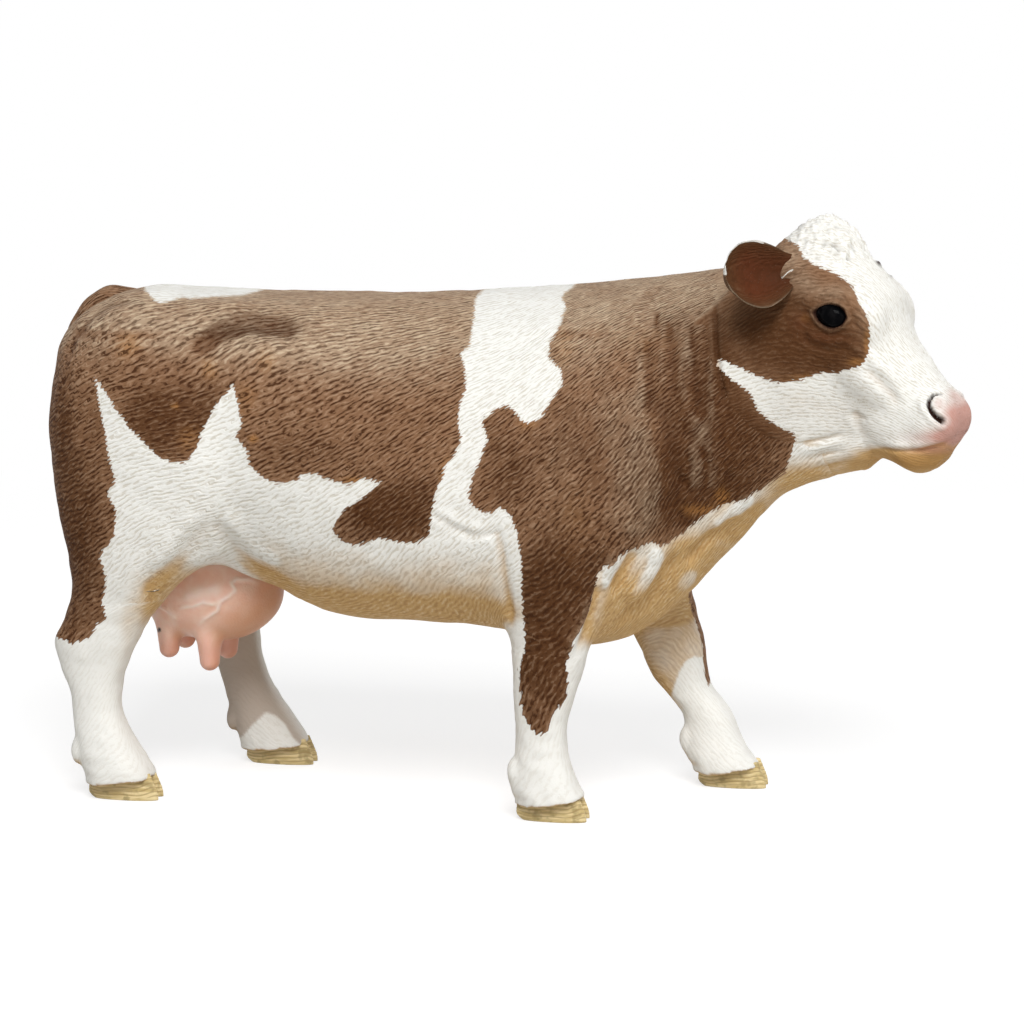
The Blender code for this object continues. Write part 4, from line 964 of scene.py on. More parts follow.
def body_marks(points, normals):
    """For points of the body: the rise of the hide, which is the sum of its drawn folds, bosses
    and lumps, the marks of the paint and of the painted light and shade, and their places in the
    picture."""
    middle = neck_middle(points)
    swung = mirrored(points, middle)
    spots = in_picture(swung)
    left_share = soft_step(points[:, 1] - middle, -0.0015, 0.0015)
    # The drawn folds lie on the flanks and fade towards the line of the back
    flank = soft_step(np.abs(normals[:, 1]), 0.05, 0.35)
    drawn = folds(spots, BODY_FOLDS)
    above = soft_step(points[:, 2], 0.022, 0.026)
    rise = (drawn * (0.25 + 0.75 * flank) + bosses(spots, BODY_BOSSES) * flank) * above
    coarse = lumps(points, (0.0042, 0.0036, 0.0026), 3) * 0.00010
    fine = lumps(points, (0.0022, 0.0014, 0.0013), 5) * 0.00007
    rise += coarse + fine
    # Painted shade: the hide is tinted tan where it faces down and in the grooves of the drawn
    # folds, less on their crests
    underside_shade = soft_step(-normals[:, 2], 0.08, 0.90)
    fold_shade = soft_step(-drawn, 0.00008, 0.00050) * above
    crest = soft_step(drawn, 0.00005, 0.00040) * above
    warm = underside_shade * 0.85 + fold_shade * 0.30 + bosses(spots, TAN_AND_SHADE_SPOTS) * above - crest * 0.5
    # Painted light: how far the hide faces up, for a lighter top as if lit from above
    top = soft_step(normals[:, 2], 0.35, 0.9)
    # Low on the left legs the brown stays on their outer side
    outward = normals[:, 1] + OUTER_LEAN * normals[:, 0]
    low_left = left_share * soft_step(-points[:, 2], -0.038, -0.032)
    # The thin paint on their inner side looks grey above the socks
    inner = soft_step(-normals[:, 1], -0.2, 0.5) * low_left
    seen = in_picture(points)
    bare_fore = soft_step(inside_outline(seen, BARE_FORE), -1.5, 1.5) * inner
    bare_hind = soft_step(inside_outline(seen, BARE_HIND), -1.5, 1.5) * inner
    brown = coat_marks(points, spots, left_share)
    # Light paint: dry brushing in the spots, with painted highlight on upward faces and raised folds
    # and less in the fold grooves
    dry = bosses(spots, DRYBRUSH_AND_HIGHLIGHT_SPOTS) * 0.45 + top * 1.3 + crest * 0.3 - fold_shade * 0.9
    marks = {
        "coat": np.minimum(brown, outward * OUTER_PIXELS + (1 - low_left) * 80),
        "warm": np.clip(warm + bare_fore * 0.60, 0, 1),
        "grey": bare_fore * 0.10 + bare_hind * 0.75,
        "dry": np.clip(dry, 0, 1),
        # Painted shade: the grooves of the drawn folds are darker
        "shade_and_stain": fold_shade * np.where(brown > 0, 0.6, 0.12),
        "sleek": soft_step(-points[:, 2], -0.036, -0.027),
        "ochre": np.clip(bosses(spots, OCHRE_SPOTS), 0, 1),
        "dark_and_shaded": np.clip(bosses(spots, DARK_AND_SHADED_SPOTS), 0, 1),
    }
    return rise, marks, spots


normals = normals_of(trunk_points, trunk_faces)
rise, marks, spots = body_marks(trunk_points, normals)
lie = hair_lie(spots, HAIR_LIE, HAIR_LIE_REACH)
marks["comb"] = combed(trunk_points, trunk_faces, normals, lie)
trunk_points = trunk_points + normals * rise[:, None]
make_piece("trunk_hide", trunk_points, trunk_faces, marks, coat_paint, ["trunk"])

# Lower legs: each is one moulding of soft plastic with its dewclaws, on a peg that is glued up
# into the trunk's leg stub. A fringe of hair hangs over the hoof.

LEG_CELL = 0.00034
LEG_ROOM = 0.0045
DEWCLAW_BLEND = 0.0008
DEWCLAW_HEIGHT = 0.0068
DEWCLAW_RADII = (0.0010, 0.0012, 0.0019)
DEWCLAW_SPREAD_SHARE = 0.42
DEWCLAW_BACK_SHARE = 0.92
CORONET_HEIGHT = 0.0027
CORONET_SLOPE = 0.11


def ellipsoid_distance(x, y, z, middle, radii):
    """Distance outside an ellipsoid that lies along the axes."""
    parts = [(a - m) / r for a, m, r in zip((x, y, z), middle, radii)]
    level = np.sqrt(sum(p * p for p in parts))
    away = np.sqrt(sum((a - m) ** 2 for a, m in zip((x, y, z), middle)))
    return away * (1 - 1 / np.maximum(level, 1e-3))


for leg in LEGS:
    heights = np.linspace(0, leg.seam + LEG_OVERLAP, 40)
    middle_x, middle_y, half_length, half_width = leg.sizes(heights)
    low = (
        (middle_x - half_length).min() - LEG_ROOM,
        (middle_y - half_width).min() - LEG_ROOM,
        0.0,
    )
    high = (
        (middle_x + half_length).max() + LEG_ROOM,
        (middle_y + half_width).max() + LEG_ROOM,
        leg.seam + LEG_OVERLAP + 0.001,
    )
    x, y, z = grid(low, high, LEG_CELL)
    skin, legs_apart = figure_distance(x, y, z, LEG_CELL)
    apart = legs_apart[LEGS.index(leg)]
    claw_x, claw_y, claw_length, claw_width = (v[0] for v in leg.sizes(np.array([DEWCLAW_HEIGHT])))
    for across in (-1, 1):
        place = (
            claw_x - claw_length * DEWCLAW_BACK_SHARE,
            claw_y + across * claw_width * DEWCLAW_SPREAD_SHARE,
            DEWCLAW_HEIGHT,
        )
        dewclaw = ellipsoid_distance(x, y, z, place, DEWCLAW_RADII)
        skin = blended(skin, dewclaw, DEWCLAW_BLEND)
    sole_x, _, sole_length, _ = (v[0] for v in leg.sizes(np.array([0.0])))
    coronet = CORONET_HEIGHT + CORONET_SLOPE * (x - sole_x) - z
    # The leg laps over the trunk's edge at the seam and dips under the hide above it
    lap = LEG_LAP * soft_step(z, leg.seam - 0.0030, leg.seam - 0.0006)
    tuck = (LEG_LAP + LEG_TUCK) * soft_step(z, leg.seam + 0.0006, leg.seam + 0.0020)
    ends = np.maximum(apart - LEG_REACH + 0.0002, z - leg.seam - LEG_OVERLAP)
    skin = np.maximum(np.maximum(skin - lap + tuck, ends), coronet)
    points, faces = skin_of(skin, low, LEG_CELL)
    normals = normals_of(points, faces)
    rise, marks, spots = body_marks(points, normals)
    lie = hair_lie(spots, HAIR_LIE, HAIR_LIE_REACH)
    marks["comb"] = combed(points, faces, normals, lie)
    fringe = soft_step(-points[:, 2], -(CORONET_HEIGHT + 0.003), -CORONET_HEIGHT)
    rise = rise + fringe * (0.00012 + lumps(points, (0.0012, 0.0012, 0.004), 9) * 0.00016)
    rise = rise + lumps(points, (0.0007, 0.0007, 0.0011), 11) * 0.00004
    points = points + normals * rise[:, None]
    make_piece(leg.name + "_hide", points, faces, marks, coat_paint, [leg.name])

# The head: one moulding that seats over the end of the neck, with the brows, the cheeks, the
# lids, the nostrils and the curls of the poll in its relief. It is turned to the cow's right.

HEAD_LENGTH, HEAD_DEPTH, HEAD_WIDTH = 0.0363, 0.0252, 0.0176
HEAD_YAW, HEAD_PITCH = math.radians(-15.0), math.radians(45.0)
HEAD_CELL = 0.00022
HEAD_STATIONS = (
    (0.000, 0.330, 0.040, -0.170, 0.48, 2.0, 2.0),
    (0.028, 0.405, 0.060, -0.310, 0.68, 2.0, 2.2),
    (0.076, 0.442, 0.080, -0.430, 0.81, 2.0, 2.3),
    (0.152, 0.456, 0.100, -0.505, 0.91, 2.0, 2.3),
    (0.245, 0.424, 0.120, -0.525, 0.97, 1.8, 2.2),
    (0.343, 0.420, 0.140, -0.515, 1.00, 1.9, 2.0),
    (0.441, 0.406, 0.150, -0.485, 0.95, 2.1, 1.9),
    (0.515, 0.352, 0.130, -0.460, 0.86, 2.1, 1.8),
    (0.600, 0.306, 0.080, -0.425, 0.74, 2.1, 1.9),
    (0.686, 0.292, 0.040, -0.350, 0.66, 2.2, 2.0),
    (0.775, 0.274, 0.020, -0.300, 0.64, 2.3, 2.1),
    (0.863, 0.262, 0.000, -0.236, 0.67, 2.4, 2.1),
    (0.926, 0.212, -0.020, -0.170, 0.62, 2.2, 2.1),
    (0.971, 0.120, -0.030, -0.125, 0.46, 2.0, 2.1),
    (1.000, 0.030, -0.030, -0.075, 0.26, 2.0, 2.0),
)
HEAD_PLACE = np.array(
    (RUMP_X + 0.8866 * TRUNK_LENGTH, -0.0252 * TRUNK_LENGTH, BELLY_HEIGHT + 1.082 * TRUNK_DEPTH)
)
HEAD_TURN = np.array(
    Matrix.Rotation(HEAD_YAW, 3, "Z") @ Matrix.Rotation(HEAD_PITCH, 3, "Y")
)
CHEEK_MIDDLE = (0.304, 0.0, -0.265)
CHEEK_RADII = (0.294, 1.02, 0.294)
# Rounded forms of the skull: along, out, level, then their reach along, out and up, as shares
SKULL_FORMS = (
    (0.402, 0.68, 0.262, 0.108, 0.28, 0.100),
    (0.549, 0.52, 0.050, 0.167, 0.34, 0.120),
    (0.887, 0.34, 0.120, 0.074, 0.36, 0.110),
    (0.907, 0.18, -0.100, 0.064, 0.42, 0.062),
    (0.752, 0.00, -0.312, 0.050, 0.30, 0.070),
)
HEAD_BLEND = 0.0030
NECK_REACH, NECK_LAP, NECK_DIP = 0.0036, 0.00006, 0.00022
FORM_BLEND = 0.0022
EYE_OUTLINE = (
    (813, 312), (820, 307.5), (829, 305), (838, 305.5), (844, 310), (847, 318), (842, 324.5),
    (834, 328), (827, 327), (821, 323), (816, 317.5),
)
EYE_SPOT = (830.5, 316.5)
HEAD_FOLDS = (
    (5, 0.35, (800, 306), (812, 297), (828, 293), (844, 296), (856, 304)),
    (2.0, -0.14, (806, 306), (816, 301), (830, 298), (844, 301), (851, 308)),
    (4, -0.22, (852, 312), (857, 326), (866, 342), (880, 358)),
    (5, 0.30, (838, 336), (862, 352), (886, 372), (905, 388)),
    (6, -0.38, (862, 366), (878, 380), (892, 394), (900, 410)),
    (5, 0.20, (876, 364), (894, 384), (906, 400)),
    (2.2, -0.26, (800, 448), (814, 443), (832, 437), (842, 430)),
    (2.2, -0.22, (812, 455), (828, 449), (844, 442)),
    (2.2, -0.20, (796, 440), (808, 434), (820, 424)),
    (5, -0.30, (848, 408), (855, 418), (861, 431), (868, 444)),
    (3, -0.30, (852, 412), (859, 417), (868, 420)),
    (2.2, -0.42, (866, 440), (880, 448), (900, 451), (922, 450), (944, 445), (960, 435),
     (972, 420)),
    (4, 0.22, (884, 444), (904, 446), (926, 444), (946, 438)),
    (3.2, 0.30, (922, 392), (920, 401), (923, 411), (930, 420), (940, 427), (950, 430)),
    (3.4, 0.24, (948, 405), (944, 398), (938, 400), (937, 408)),
    (2.0, -0.16, (944, 397), (949, 392), (954, 388)),
    (3.0, 0.34, (780, 280), (789, 272), (800, 264)),
    (2.2, -0.34, (776, 288), (788, 279), (799, 270), (808, 262)),
    (2.4, 0.24, (768, 294), (776, 296), (786, 296)),
    (8, -0.30, (770, 300), (790, 305), (806, 316), (812, 330)),
    (1.6, 0.20, (808, 309), (815, 304), (824, 302), (834, 302), (843, 306)),
    (1.8, -0.18, (804, 303), (815, 298.5), (830, 296.5), (844, 299), (852, 306)),
    (2.0, -0.20, (810, 320), (817, 330), (829, 335), (843, 333)),
    (2.6, 0.22, (804, 325), (813, 337), (830, 342), (850, 338)),
    (3.0, -0.28, (800, 328), (809, 345), (829, 351), (852, 347)),
    (2.4, -0.18, (848, 308), (853, 318), (855, 330)),
)
NOSTRIL_LINE = (
    (940.5, 393.5), (934, 394.5), (929.5, 399), (928.5, 404.5), (931.5, 411), (936.5, 416.5),
    (942.5, 420.5),
)
LEFT_HEAD_EDGE = (
    (718, 359), (730, 364), (748, 370), (764, 382), (784, 386), (806, 380), (828, 374),
    (842, 364), (852, 350), (856, 334), (854, 316), (846, 298), (838, 284), (826, 274),
    (812, 266), (802, 258), (796, 248), (786, 240), (780, 120),
)
EAR_CREASES = (
    (2.2, 1.15, (776, 284), (783, 277.5), (791, 271.5), (798, 267)),
    (2.0, 1.1, (764, 291), (774, 296), (786, 299)),
)
LASH_LINE = ((877, 263), (884, 266), (889, 270), (892, 275))
PINK_SPOTS = (
    (962, 422, 12, 22, 1.0), (952, 434, 18, 10, 0.8), (936, 438, 26, 7, 0.55),
    (954, 394, 6, 8, 0.35), (950, 412, 8, 8, 0.5), (975, 405, 10, 20, 0.6),
    (938, 404, 5, 6, 0.35), (930, 450, 20, 4, 0.5),
)
# Tan on the chin and along the lower lip, with painted shade on the cheek and in the jaw folds:
# centre, reach along and across, size
CHIN_SPOTS = (
    (815, 412, 44, 20, 0.16), (790, 396, 20, 12, 0.12), (830, 456, 30, 12, 0.2),
    (910, 462, 50, 11, 1.4), (946, 454, 22, 9, 1.2), (864, 452, 12, 8, 0.3),
    (884, 456, 14, 6, 0.9), (838, 438, 10, 5, 0.3),
)
POLL_SPOTS = ((826, 232, 40, 24, 1.3), (848, 256, 16, 16, 0.8))
# Painted shade: grey on the cheek and the jaw
CHEEK_SHADE_GREY = ((812, 416, 50, 20, 0.17), (826, 452, 44, 14, 0.14))
# Light paint on the poll and brows, partly dry brushing and partly painted highlight
FACE_DRYBRUSH_AND_HIGHLIGHT = (
    (790, 256, 16, 16, 0.9), (830, 292, 22, 8, 0.5), (866, 300, 8, 30, 0.5), (800, 282, 14, 10, 0.5),
)
FACE_OCHRE = (
    (804, 318, 7, 5, 0.5), (820, 378, 40, 5, 0.6), (867, 340, 4, 20, 0.7), (856, 362, 12, 5, 0.6),
)
FACE_RUDDY = ((800, 322, 10, 10, 0.35), (826, 338, 24, 7, 0.3))
# Darker brown below the ear and on the cheek, partly darker paint and partly painted shadow of the
# ear
FACE_DARK_AND_SHADED = ((775, 330, 50, 60, 1.0), (840, 350, 46, 40, 0.8))
CHIN_STAIN = ((914, 462, 46, 11, 1.0), (950, 456, 18, 9, 0.7))

# The face's hair is finer: its lie, as on the body, and its waves
FACE_LIE = (
    (740, 340, 40), (780, 300, 30), (790, 360, 20), (830, 350, 10), (780, 400, 20), (830, 400, 15),
    (860, 430, 30), (820, 450, 20), (800, 250, 10), (840, 240, 0), (880, 290, -50), (890, 350, -45),
    (920, 380, -40), (900, 430, -20), (860, 380, -20), (870, 320, -60), (800, 480, 30),
)
FACE_LIE_REACH = 26.0
FACE_PITCH, FACE_RELIEF = 0.00030, 0.00009


def from_head(points):
    """Points of the head's own frame, in the world."""
    return HEAD_PLACE + points @ HEAD_TURN.T


low = np.array((-0.0055, -0.0145, -0.0205))
x, y, z = grid(low, (0.0385, 0.0145, 0.0145), HEAD_CELL)
top, widest, bottom, width, upper, lower = (
    column.reshape(-1, 1, 1) for column in between(HEAD_STATIONS, x.ravel() / HEAD_LENGTH)
)
skin = sweep_distance(
    y,
    z - widest * HEAD_DEPTH,
    width * HEAD_WIDTH / 2,
    (top - widest) * HEAD_DEPTH,
    (widest - bottom) * HEAD_DEPTH,
    upper,
    lower,
)
skin = as_distance(np.maximum(skin, np.maximum(-x, x - HEAD_LENGTH)), HEAD_CELL)
HEAD_SHARES = np.array((HEAD_LENGTH, HEAD_WIDTH / 2, HEAD_DEPTH))
CHEEK_SHARES = np.array((HEAD_LENGTH, HEAD_WIDTH / 2, HEAD_LENGTH))
cheek = ellipsoid_distance(
    x, y, z, np.array(CHEEK_MIDDLE) * HEAD_SHARES, np.array(CHEEK_RADII) * CHEEK_SHARES
)
skin = blended(skin, as_distance(cheek, HEAD_CELL), HEAD_BLEND)
for form in SKULL_FORMS:
    for side in (-1, 1):
        middle = np.array(form[:3]) * HEAD_SHARES * (1, side, 1)
        boss = ellipsoid_distance(x, y, z, middle, np.array(form[3:]) * HEAD_SHARES)
        skin = blended(skin, as_distance(boss, HEAD_CELL), FORM_BLEND)
# The head runs on into the neck: it is joined with the trunk's end, as far as NECK_REACH from the
# head alone, and dips under the hide of the trunk there
world = [
    start + x * turn[0] + y * turn[1] + z * turn[2] for start, turn in zip(HEAD_PLACE, HEAD_TURN)
]
neck = trunk_distance(*world, HEAD_CELL)
dip = NECK_DIP * soft_step(skin, NECK_REACH - 0.0011, NECK_REACH - 0.0001)
joined = blended(skin, neck, NECK_REACH) - NECK_LAP * soft_step(skin, 0.0004, 0.0016) + dip
joined = np.maximum(joined, skin - NECK_REACH)
head_points, head_faces = skin_of(joined, low, HEAD_CELL, rounds=5)
at = np.rint((head_points - low) / HEAD_CELL).astype(int)
neck_share = soft_step(skin[tuple(at.T)], 0.0002, 0.0022)

swung = mirrored(head_points, np.zeros(len(head_points)))
spots = in_picture(from_head(swung))
normals = normals_of(head_points, head_faces)
drawn = folds(spots, HEAD_FOLDS)
in_eye = inside_outline(spots, EYE_OUTLINE)
near_side = soft_step(-normals[:, 1] * np.where(head_points[:, 1] > 0, -1, 1), 0.1, 0.4)
lid = np.exp(-(((in_eye + 2.4) / 1.9) ** 2)) * near_side
from_nostril, down_nostril = nearest_on(spots, NOSTRIL_LINE)
nostril = np.exp(-((from_nostril / (0.9 + 2.4 * down_nostril)) ** 4)) * near_side
poll = np.clip(bosses(spots, POLL_SPOTS), 0, 1)
curls = 1 - 2 * np.abs(lumps(head_points, (0.0012, 0.0009, 0.0009), 21))
curls += 0.6 - 1.2 * np.abs(lumps(head_points, (0.0007, 0.0006, 0.0006), 22))
# Painted shade: the pits between the curls of the poll are painted dark
poll_curl_shade = soft_step(-curls, -0.2, 0.6)
# The lash of the far eye shows as a dark arc beyond the brow
from_lash, _ = nearest_on(in_picture(from_head(head_points)), LASH_LINE)
lash = np.exp(-((from_lash / 2.2) ** 2)) * soft_step(head_points[:, 1], 0.0, 0.001)
# White creases run from the root of the ear
crease = folds(spots, EAR_CREASES) * 1000 * near_side
rise = drawn * np.maximum(near_side, 0.25)
rise += lid * 0.00030 - 0.00045 * soft_step(in_eye, -1.0, 2.0) * near_side - nostril * 0.0011
rise += lash * 0.0003 + poll * (curls - 1.2) * 0.00042
rise += lumps(head_points, (0.0011, 0.0006, 0.0006), 24) * 0.000030
rise += lumps(head_points, (0.0030, 0.0024, 0.0024), 25) * 0.000070
world_normals = normals @ HEAD_TURN.T
left_share = soft_step(head_points[:, 1], -0.0008, 0.0008)
left = -inside_outline(spots, JAW_EDGE + LEFT_HEAD_EDGE + OUTSIDE)
right = -inside_outline(spots, JAW_EDGE + HEAD_LOWER_EDGE + OUTSIDE)
# Painted shade: the head's downward faces are tinted tan, and its fold grooves darker
underside_shade = soft_step(-world_normals[:, 2], 0.35, 0.9)
fold_shade = soft_step(-drawn, 0.00010, 0.00050) * near_side
eye_hole = soft_step(in_eye, -2.0, -0.2) * near_side
head_lie = hair_lie(spots, FACE_LIE, FACE_LIE_REACH) @ HEAD_TURN
marks = {
    # Painted shade: grey on the cheek, tan on the head's undersides and in the jaw folds, darker
    # fold grooves; painted highlight on the lids
    "coat": (right + (left - right) * left_share) * (1 - crease),
    "grey": np.clip(bosses(spots, CHEEK_SHADE_GREY), 0, 1) * near_side,
    "warm": np.clip(underside_shade * 0.6 + bosses(spots, CHIN_SPOTS) + fold_shade * 0.15, 0, 1),
    "dry": np.clip(lid * 0.2 + bosses(spots, FACE_DRYBRUSH_AND_HIGHLIGHT), 0, 1),
    "shade_and_stain": np.clip(fold_shade * 0.25 + bosses(spots, CHIN_STAIN), 0, 0.9),
    "ochre": np.clip(bosses(spots, FACE_OCHRE), 0, 1),
    "pink": np.clip(bosses(spots, PINK_SPOTS), 0, 0.85),
    "dark": np.clip(nostril * 1.6 + eye_hole + lash + poll * poll_curl_shade * 0.35, 0, 1),
    "ruddy": np.clip(bosses(spots, FACE_RUDDY), 0, 1),
    "dark_and_shaded": np.clip(bosses(spots, FACE_DARK_AND_SHADED), 0, 1),
    "comb": combed(head_points, head_faces, normals, head_lie),
}
# Near the neck the head takes the rise and the paint of the body
neck_rise, neck_marks, _ = body_marks(from_head(head_points), world_normals)
rise += (neck_rise - rise) * neck_share
for mark in marks:
    if mark != "comb":
        marks[mark] += (neck_marks.get(mark, 0.0) - marks[mark]) * neck_share
head_skin = from_head(head_points) + world_normals * rise[:, None]
face_paint = coat_finish("face_paint", FACE_PITCH, FACE_RELIEF, 0.40)
make_piece("head_hide", head_skin, head_faces, marks, face_paint, ["head"])

# The eyes: balls moulded in one with the head, between the lids, and painted glossy black by
# hand. Each is a flat ball, sunk into the skin at the middle of the lids.

EYE_RADII = (0.00226, 0.00160, 0.0013)
EYE_SINK = 0.00065
EYE_SLANT = (0.86, 0.0, 0.50)
EYE_BLACK, EYE_GLINT = (0.0015, 0.0015, 0.0020), (0.0060, 0.0055, 0.0060)


def ringed(rings):
    """Points and faces of a closed sweep: quads between neighbouring rings, and a fan of
    triangles round a middle point at both ends."""
    count, around = rings.shape[:2]
    points = np.concatenate((rings.reshape(-1, 3), rings[[0, -1]].mean(axis=1)))
    i, j = np.indices((count - 1, around))
    k = (j + 1) % around
    this, following = i * around, (i + 1) * around
    quads = np.stack((this + j, this + k, following + k, following + j), -1)
    turn = np.arange(around)
    after = (turn + 1) % around
    start = np.stack((after, turn, np.full(around, count * around)), -1)
    last = (count - 1) * around
    end = np.stack((last + turn, last + after, np.full(around, count * around + 1)), -1)
    return points, quads.reshape(-1, 4), np.concatenate((start, end))


def make_swept(name, rings, marks, finish, nodes):
    """A piece from rings: the marks hold a value for each point of each ring."""
    points, quads, fans = ringed(rings)
    marks = {
        mark: np.concatenate((values.ravel(), values[[0, -1]].mean(axis=1)))
        for mark, values in marks.items()
    }
    faces = quads.tolist() + fans.tolist()
    return make_piece(name, points, faces, marks, finish, nodes)


eye_gloss = Finish("eye_gloss", {"Roughness": 0.12, "Specular IOR Level": 0.02})
# Painted highlight: tiny lighter flecks on the black stand in for glints
eye_glint = eye_gloss.noise(eye_gloss.place(), 900.0, 3.0).ramp(0.45, 0.75)
eye_gloss.feed("Base Color", eye_gloss.mix(eye_glint, EYE_BLACK, EYE_GLINT))
eye_gloss.feed("Roughness", eye_glint * 0.12 + 0.08)

turn = np.linspace(0, 2 * math.pi, 40, endpoint=False)
rise_angle = np.linspace(-math.pi / 2, math.pi / 2, 26)[1:-1]
for side, name in ((-1, "eye_right"), (1, "eye_left")):
    on_side = (head_points[:, 1] * side > 0) & (normals[:, 1] * side > 0.2)
    away = np.hypot(*(spots - EYE_SPOT).T) + np.where(on_side, 0, 1e6)
    at, out = head_points[away.argmin()], normals[away.argmin()]
    along = EYE_SLANT - out * (EYE_SLANT @ out)
    along /= np.linalg.norm(along)
    up = np.cross(out, along)
    ball = np.stack(
        np.broadcast_arrays(
            np.cos(rise_angle)[:, None] * np.cos(turn) * EYE_RADII[0],
            np.cos(rise_angle)[:, None] * np.sin(turn) * EYE_RADII[1],
            np.sin(rise_angle)[:, None] * EYE_RADII[2],
        ),
        axis=-1,
    )
    ball = at - out * EYE_SINK + ball @ np.stack((along, up, out))
    make_swept(name, from_head(ball), {}, eye_gloss, [])

# The ears: thin cupped leaves of soft plastic, each on a stem that is glued into a socket
# behind the brow. Rings round the leaf follow one another from the stem to the tip.

EAR_LENGTH, EAR_WIDTH, EAR_WALL = 0.0125, 0.0094, 0.0011
EAR_ROOT = (0.142, 0.66, 0.185)
EAR_SWEEP, EAR_LIFT, EAR_ROLL = math.radians(32.0), math.radians(-4.0), math.radians(22.0)
EAR_STATIONS = (
    (-0.26, 0.30, 0.00, 2.30),
    (-0.10, 0.31, 0.00, 2.30),
    (0.04, 0.36, 0.04, 2.10),
    (0.16, 0.50, 0.14, 1.50),
    (0.34, 0.80, 0.28, 1.05),
    (0.56, 1.00, 0.30, 0.95),
    (0.76, 0.90, 0.24, 0.90),
    (0.92, 0.56, 0.13, 0.85),
    (0.985, 0.26, 0.05, 0.75),
    (1.00, 0.10, 0.02, 0.50),
)
for side, name in ((-1, "ear_right"), (1, "ear_left")):
    share = np.concatenate((np.linspace(-0.26, 0.9, 70), np.linspace(0.9, 1.0, 16)[1:]))
    half_width, cup, wall = between(EAR_STATIONS, share)
    around = np.linspace(0, 2 * math.pi, 72, endpoint=False)
    across, rise = np.cos(around), np.sin(around)
    is_inner = np.clip(rise, 0, 1)[None, :] * np.ones((len(share), 1))
    rim = soft_step(-np.abs(rise), -0.42, -0.10)[None, :] * soft_step(share, 0.1, 0.4)[:, None]
    body = 1 - 0.25 * rim
    rings = np.stack(
        np.broadcast_arrays(
            (share * EAR_LENGTH)[:, None],
            (half_width * EAR_WIDTH / 2)[:, None] * across,
            (wall * EAR_WALL / 2)[:, None] * rise * body - (cup * EAR_WIDTH)[:, None] * rise**2,
        ),
        axis=-1,
    ).copy()
    hair = lumps(rings.reshape(-1, 3), (0.0018, 0.0006, 0.0009), 31).reshape(rings.shape[:2])
    rings[..., 2] += hair * 0.00007 * np.sign(rise)
    rings[..., 1] += hair * 0.00006 * np.sign(across)
    yaw = HEAD_YAW + side * (math.pi / 2 + EAR_SWEEP)
    frame_turn = np.array(
        Matrix.Rotation(yaw, 3, "Z")
        @ Matrix.Rotation(-EAR_LIFT, 3, "Y")
        @ Matrix.Rotation(side * (math.pi / 2 - EAR_ROLL), 3, "X")
    )
    root = from_head(np.array(EAR_ROOT) * HEAD_SHARES * (1, side, 1))
    placed = root + rings @ frame_turn.T
    lit = np.broadcast_to(rim, is_inner.shape)
    sideways = np.broadcast_to((half_width * EAR_WIDTH / 2)[:, None] * across, is_inner.shape)
    short_of_tip = soft_step(0.98 - share, 0.0, 0.4)[:, None]
    # Painted highlight on the rim and the back of the leaf, and painted shade inside the cup,
    # darkest towards the root
    marks = {
        "coat": np.full(is_inner.shape, 40.0),
        "warm": np.zeros(is_inner.shape),
        "dry": np.clip(lit + (1 - is_inner) * 0.2 - is_inner * 0.5, 0, 1),
        "shade_and_stain": np.clip(is_inner * 0.8 * soft_step(0.62 - share, 0.0, 0.4)[:, None], 0, 1),
        "dark_and_shaded": np.full(is_inner.shape, 0.9),
        "ruddy": np.clip(is_inner * 1.5 - 0.5, 0, 0.85) * short_of_tip,
        "comb": sideways * (1 - is_inner),
    }
    # Painted highlight, in white paint, on the tip and along the upper rim
    over = placed[..., 2] - placed[..., 2].mean(axis=1, keepdims=True)
    over /= np.maximum(half_width[:, None], 0.2) * EAR_WIDTH / 2
    upper_rim_highlight = soft_step(over, 0.92, 1.0) * soft_step(share, 0.25, 0.45)[:, None]
    tip_highlight = soft_step(share, 0.93, 0.98)[:, None] * soft_step(over, 0.0, 0.5)
    marks["coat"] = marks["coat"] * (1 - 1.15 * np.maximum(tip_highlight, upper_rim_highlight))
    if side > 0:
        placed = placed[:, ::-1]
        marks = {mark: values[:, ::-1] for mark, values in marks.items()}
    make_swept(name + "_leaf", placed, marks, face_paint, [name])

# The udder: a bag with four teats, cast in pink plastic, with raised veins on both sides. It is
# glued into a pocket of the belly. Its front and underside are painted darker amber as shade, and
# it is a deeper pink towards the bottom, at the teats.

UDDER_LENGTH, UDDER_WIDTH, UDDER_DEPTH = 0.0225, 0.0172, 0.0165
UDDER_MIDDLE = np.array((RUMP_X + 0.1975 * TRUNK_LENGTH, 0.0, 1.19 * BELLY_HEIGHT))
UDDER_FALL = math.atan(0.17)
TEATS = ((-0.21, 0.44), (0.07, 0.52), (-0.21, -0.44), (0.07, -0.52))
TEAT_LENGTH, TEAT_ROOT_RADIUS, TEAT_RADIUS = 0.0048, 0.0019, 0.00145
TEAT_BLEND = 0.0014
UDDER_CELL = 0.00026
VEINS = (
    (2.0, 0.30, (174, 611), (182, 607), (192, 606), (203, 602), (213, 604), (222, 600)),
    (2.0, 0.34, (262, 585), (250, 580), (236, 579), (231, 583), (235, 590), (229, 596),
     (220, 601), (217, 610), (205, 618), (195, 629)),
    (7.0, 0.25, (178, 600), (200, 592), (226, 588)),
    (1.8, 0.20, (150, 596), (160, 606), (170, 612), (180, 622)),
)
UDDER_PINK, UDDER_PALE = (0.860, 0.530, 0.410), (0.900, 0.630, 0.520)
UDDER_FRONT_SHADE, UDDER_FLUSH = (0.560, 0.250, 0.110), (0.640, 0.300, 0.220)
VEIN_PALE, SPECK_BLACK = (0.930, 0.760, 0.680), (0.020, 0.014, 0.012)
SPECK_SPOT = (159, 630)
low = UDDER_MIDDLE - (0.0135, 0.0105, 0.0155)
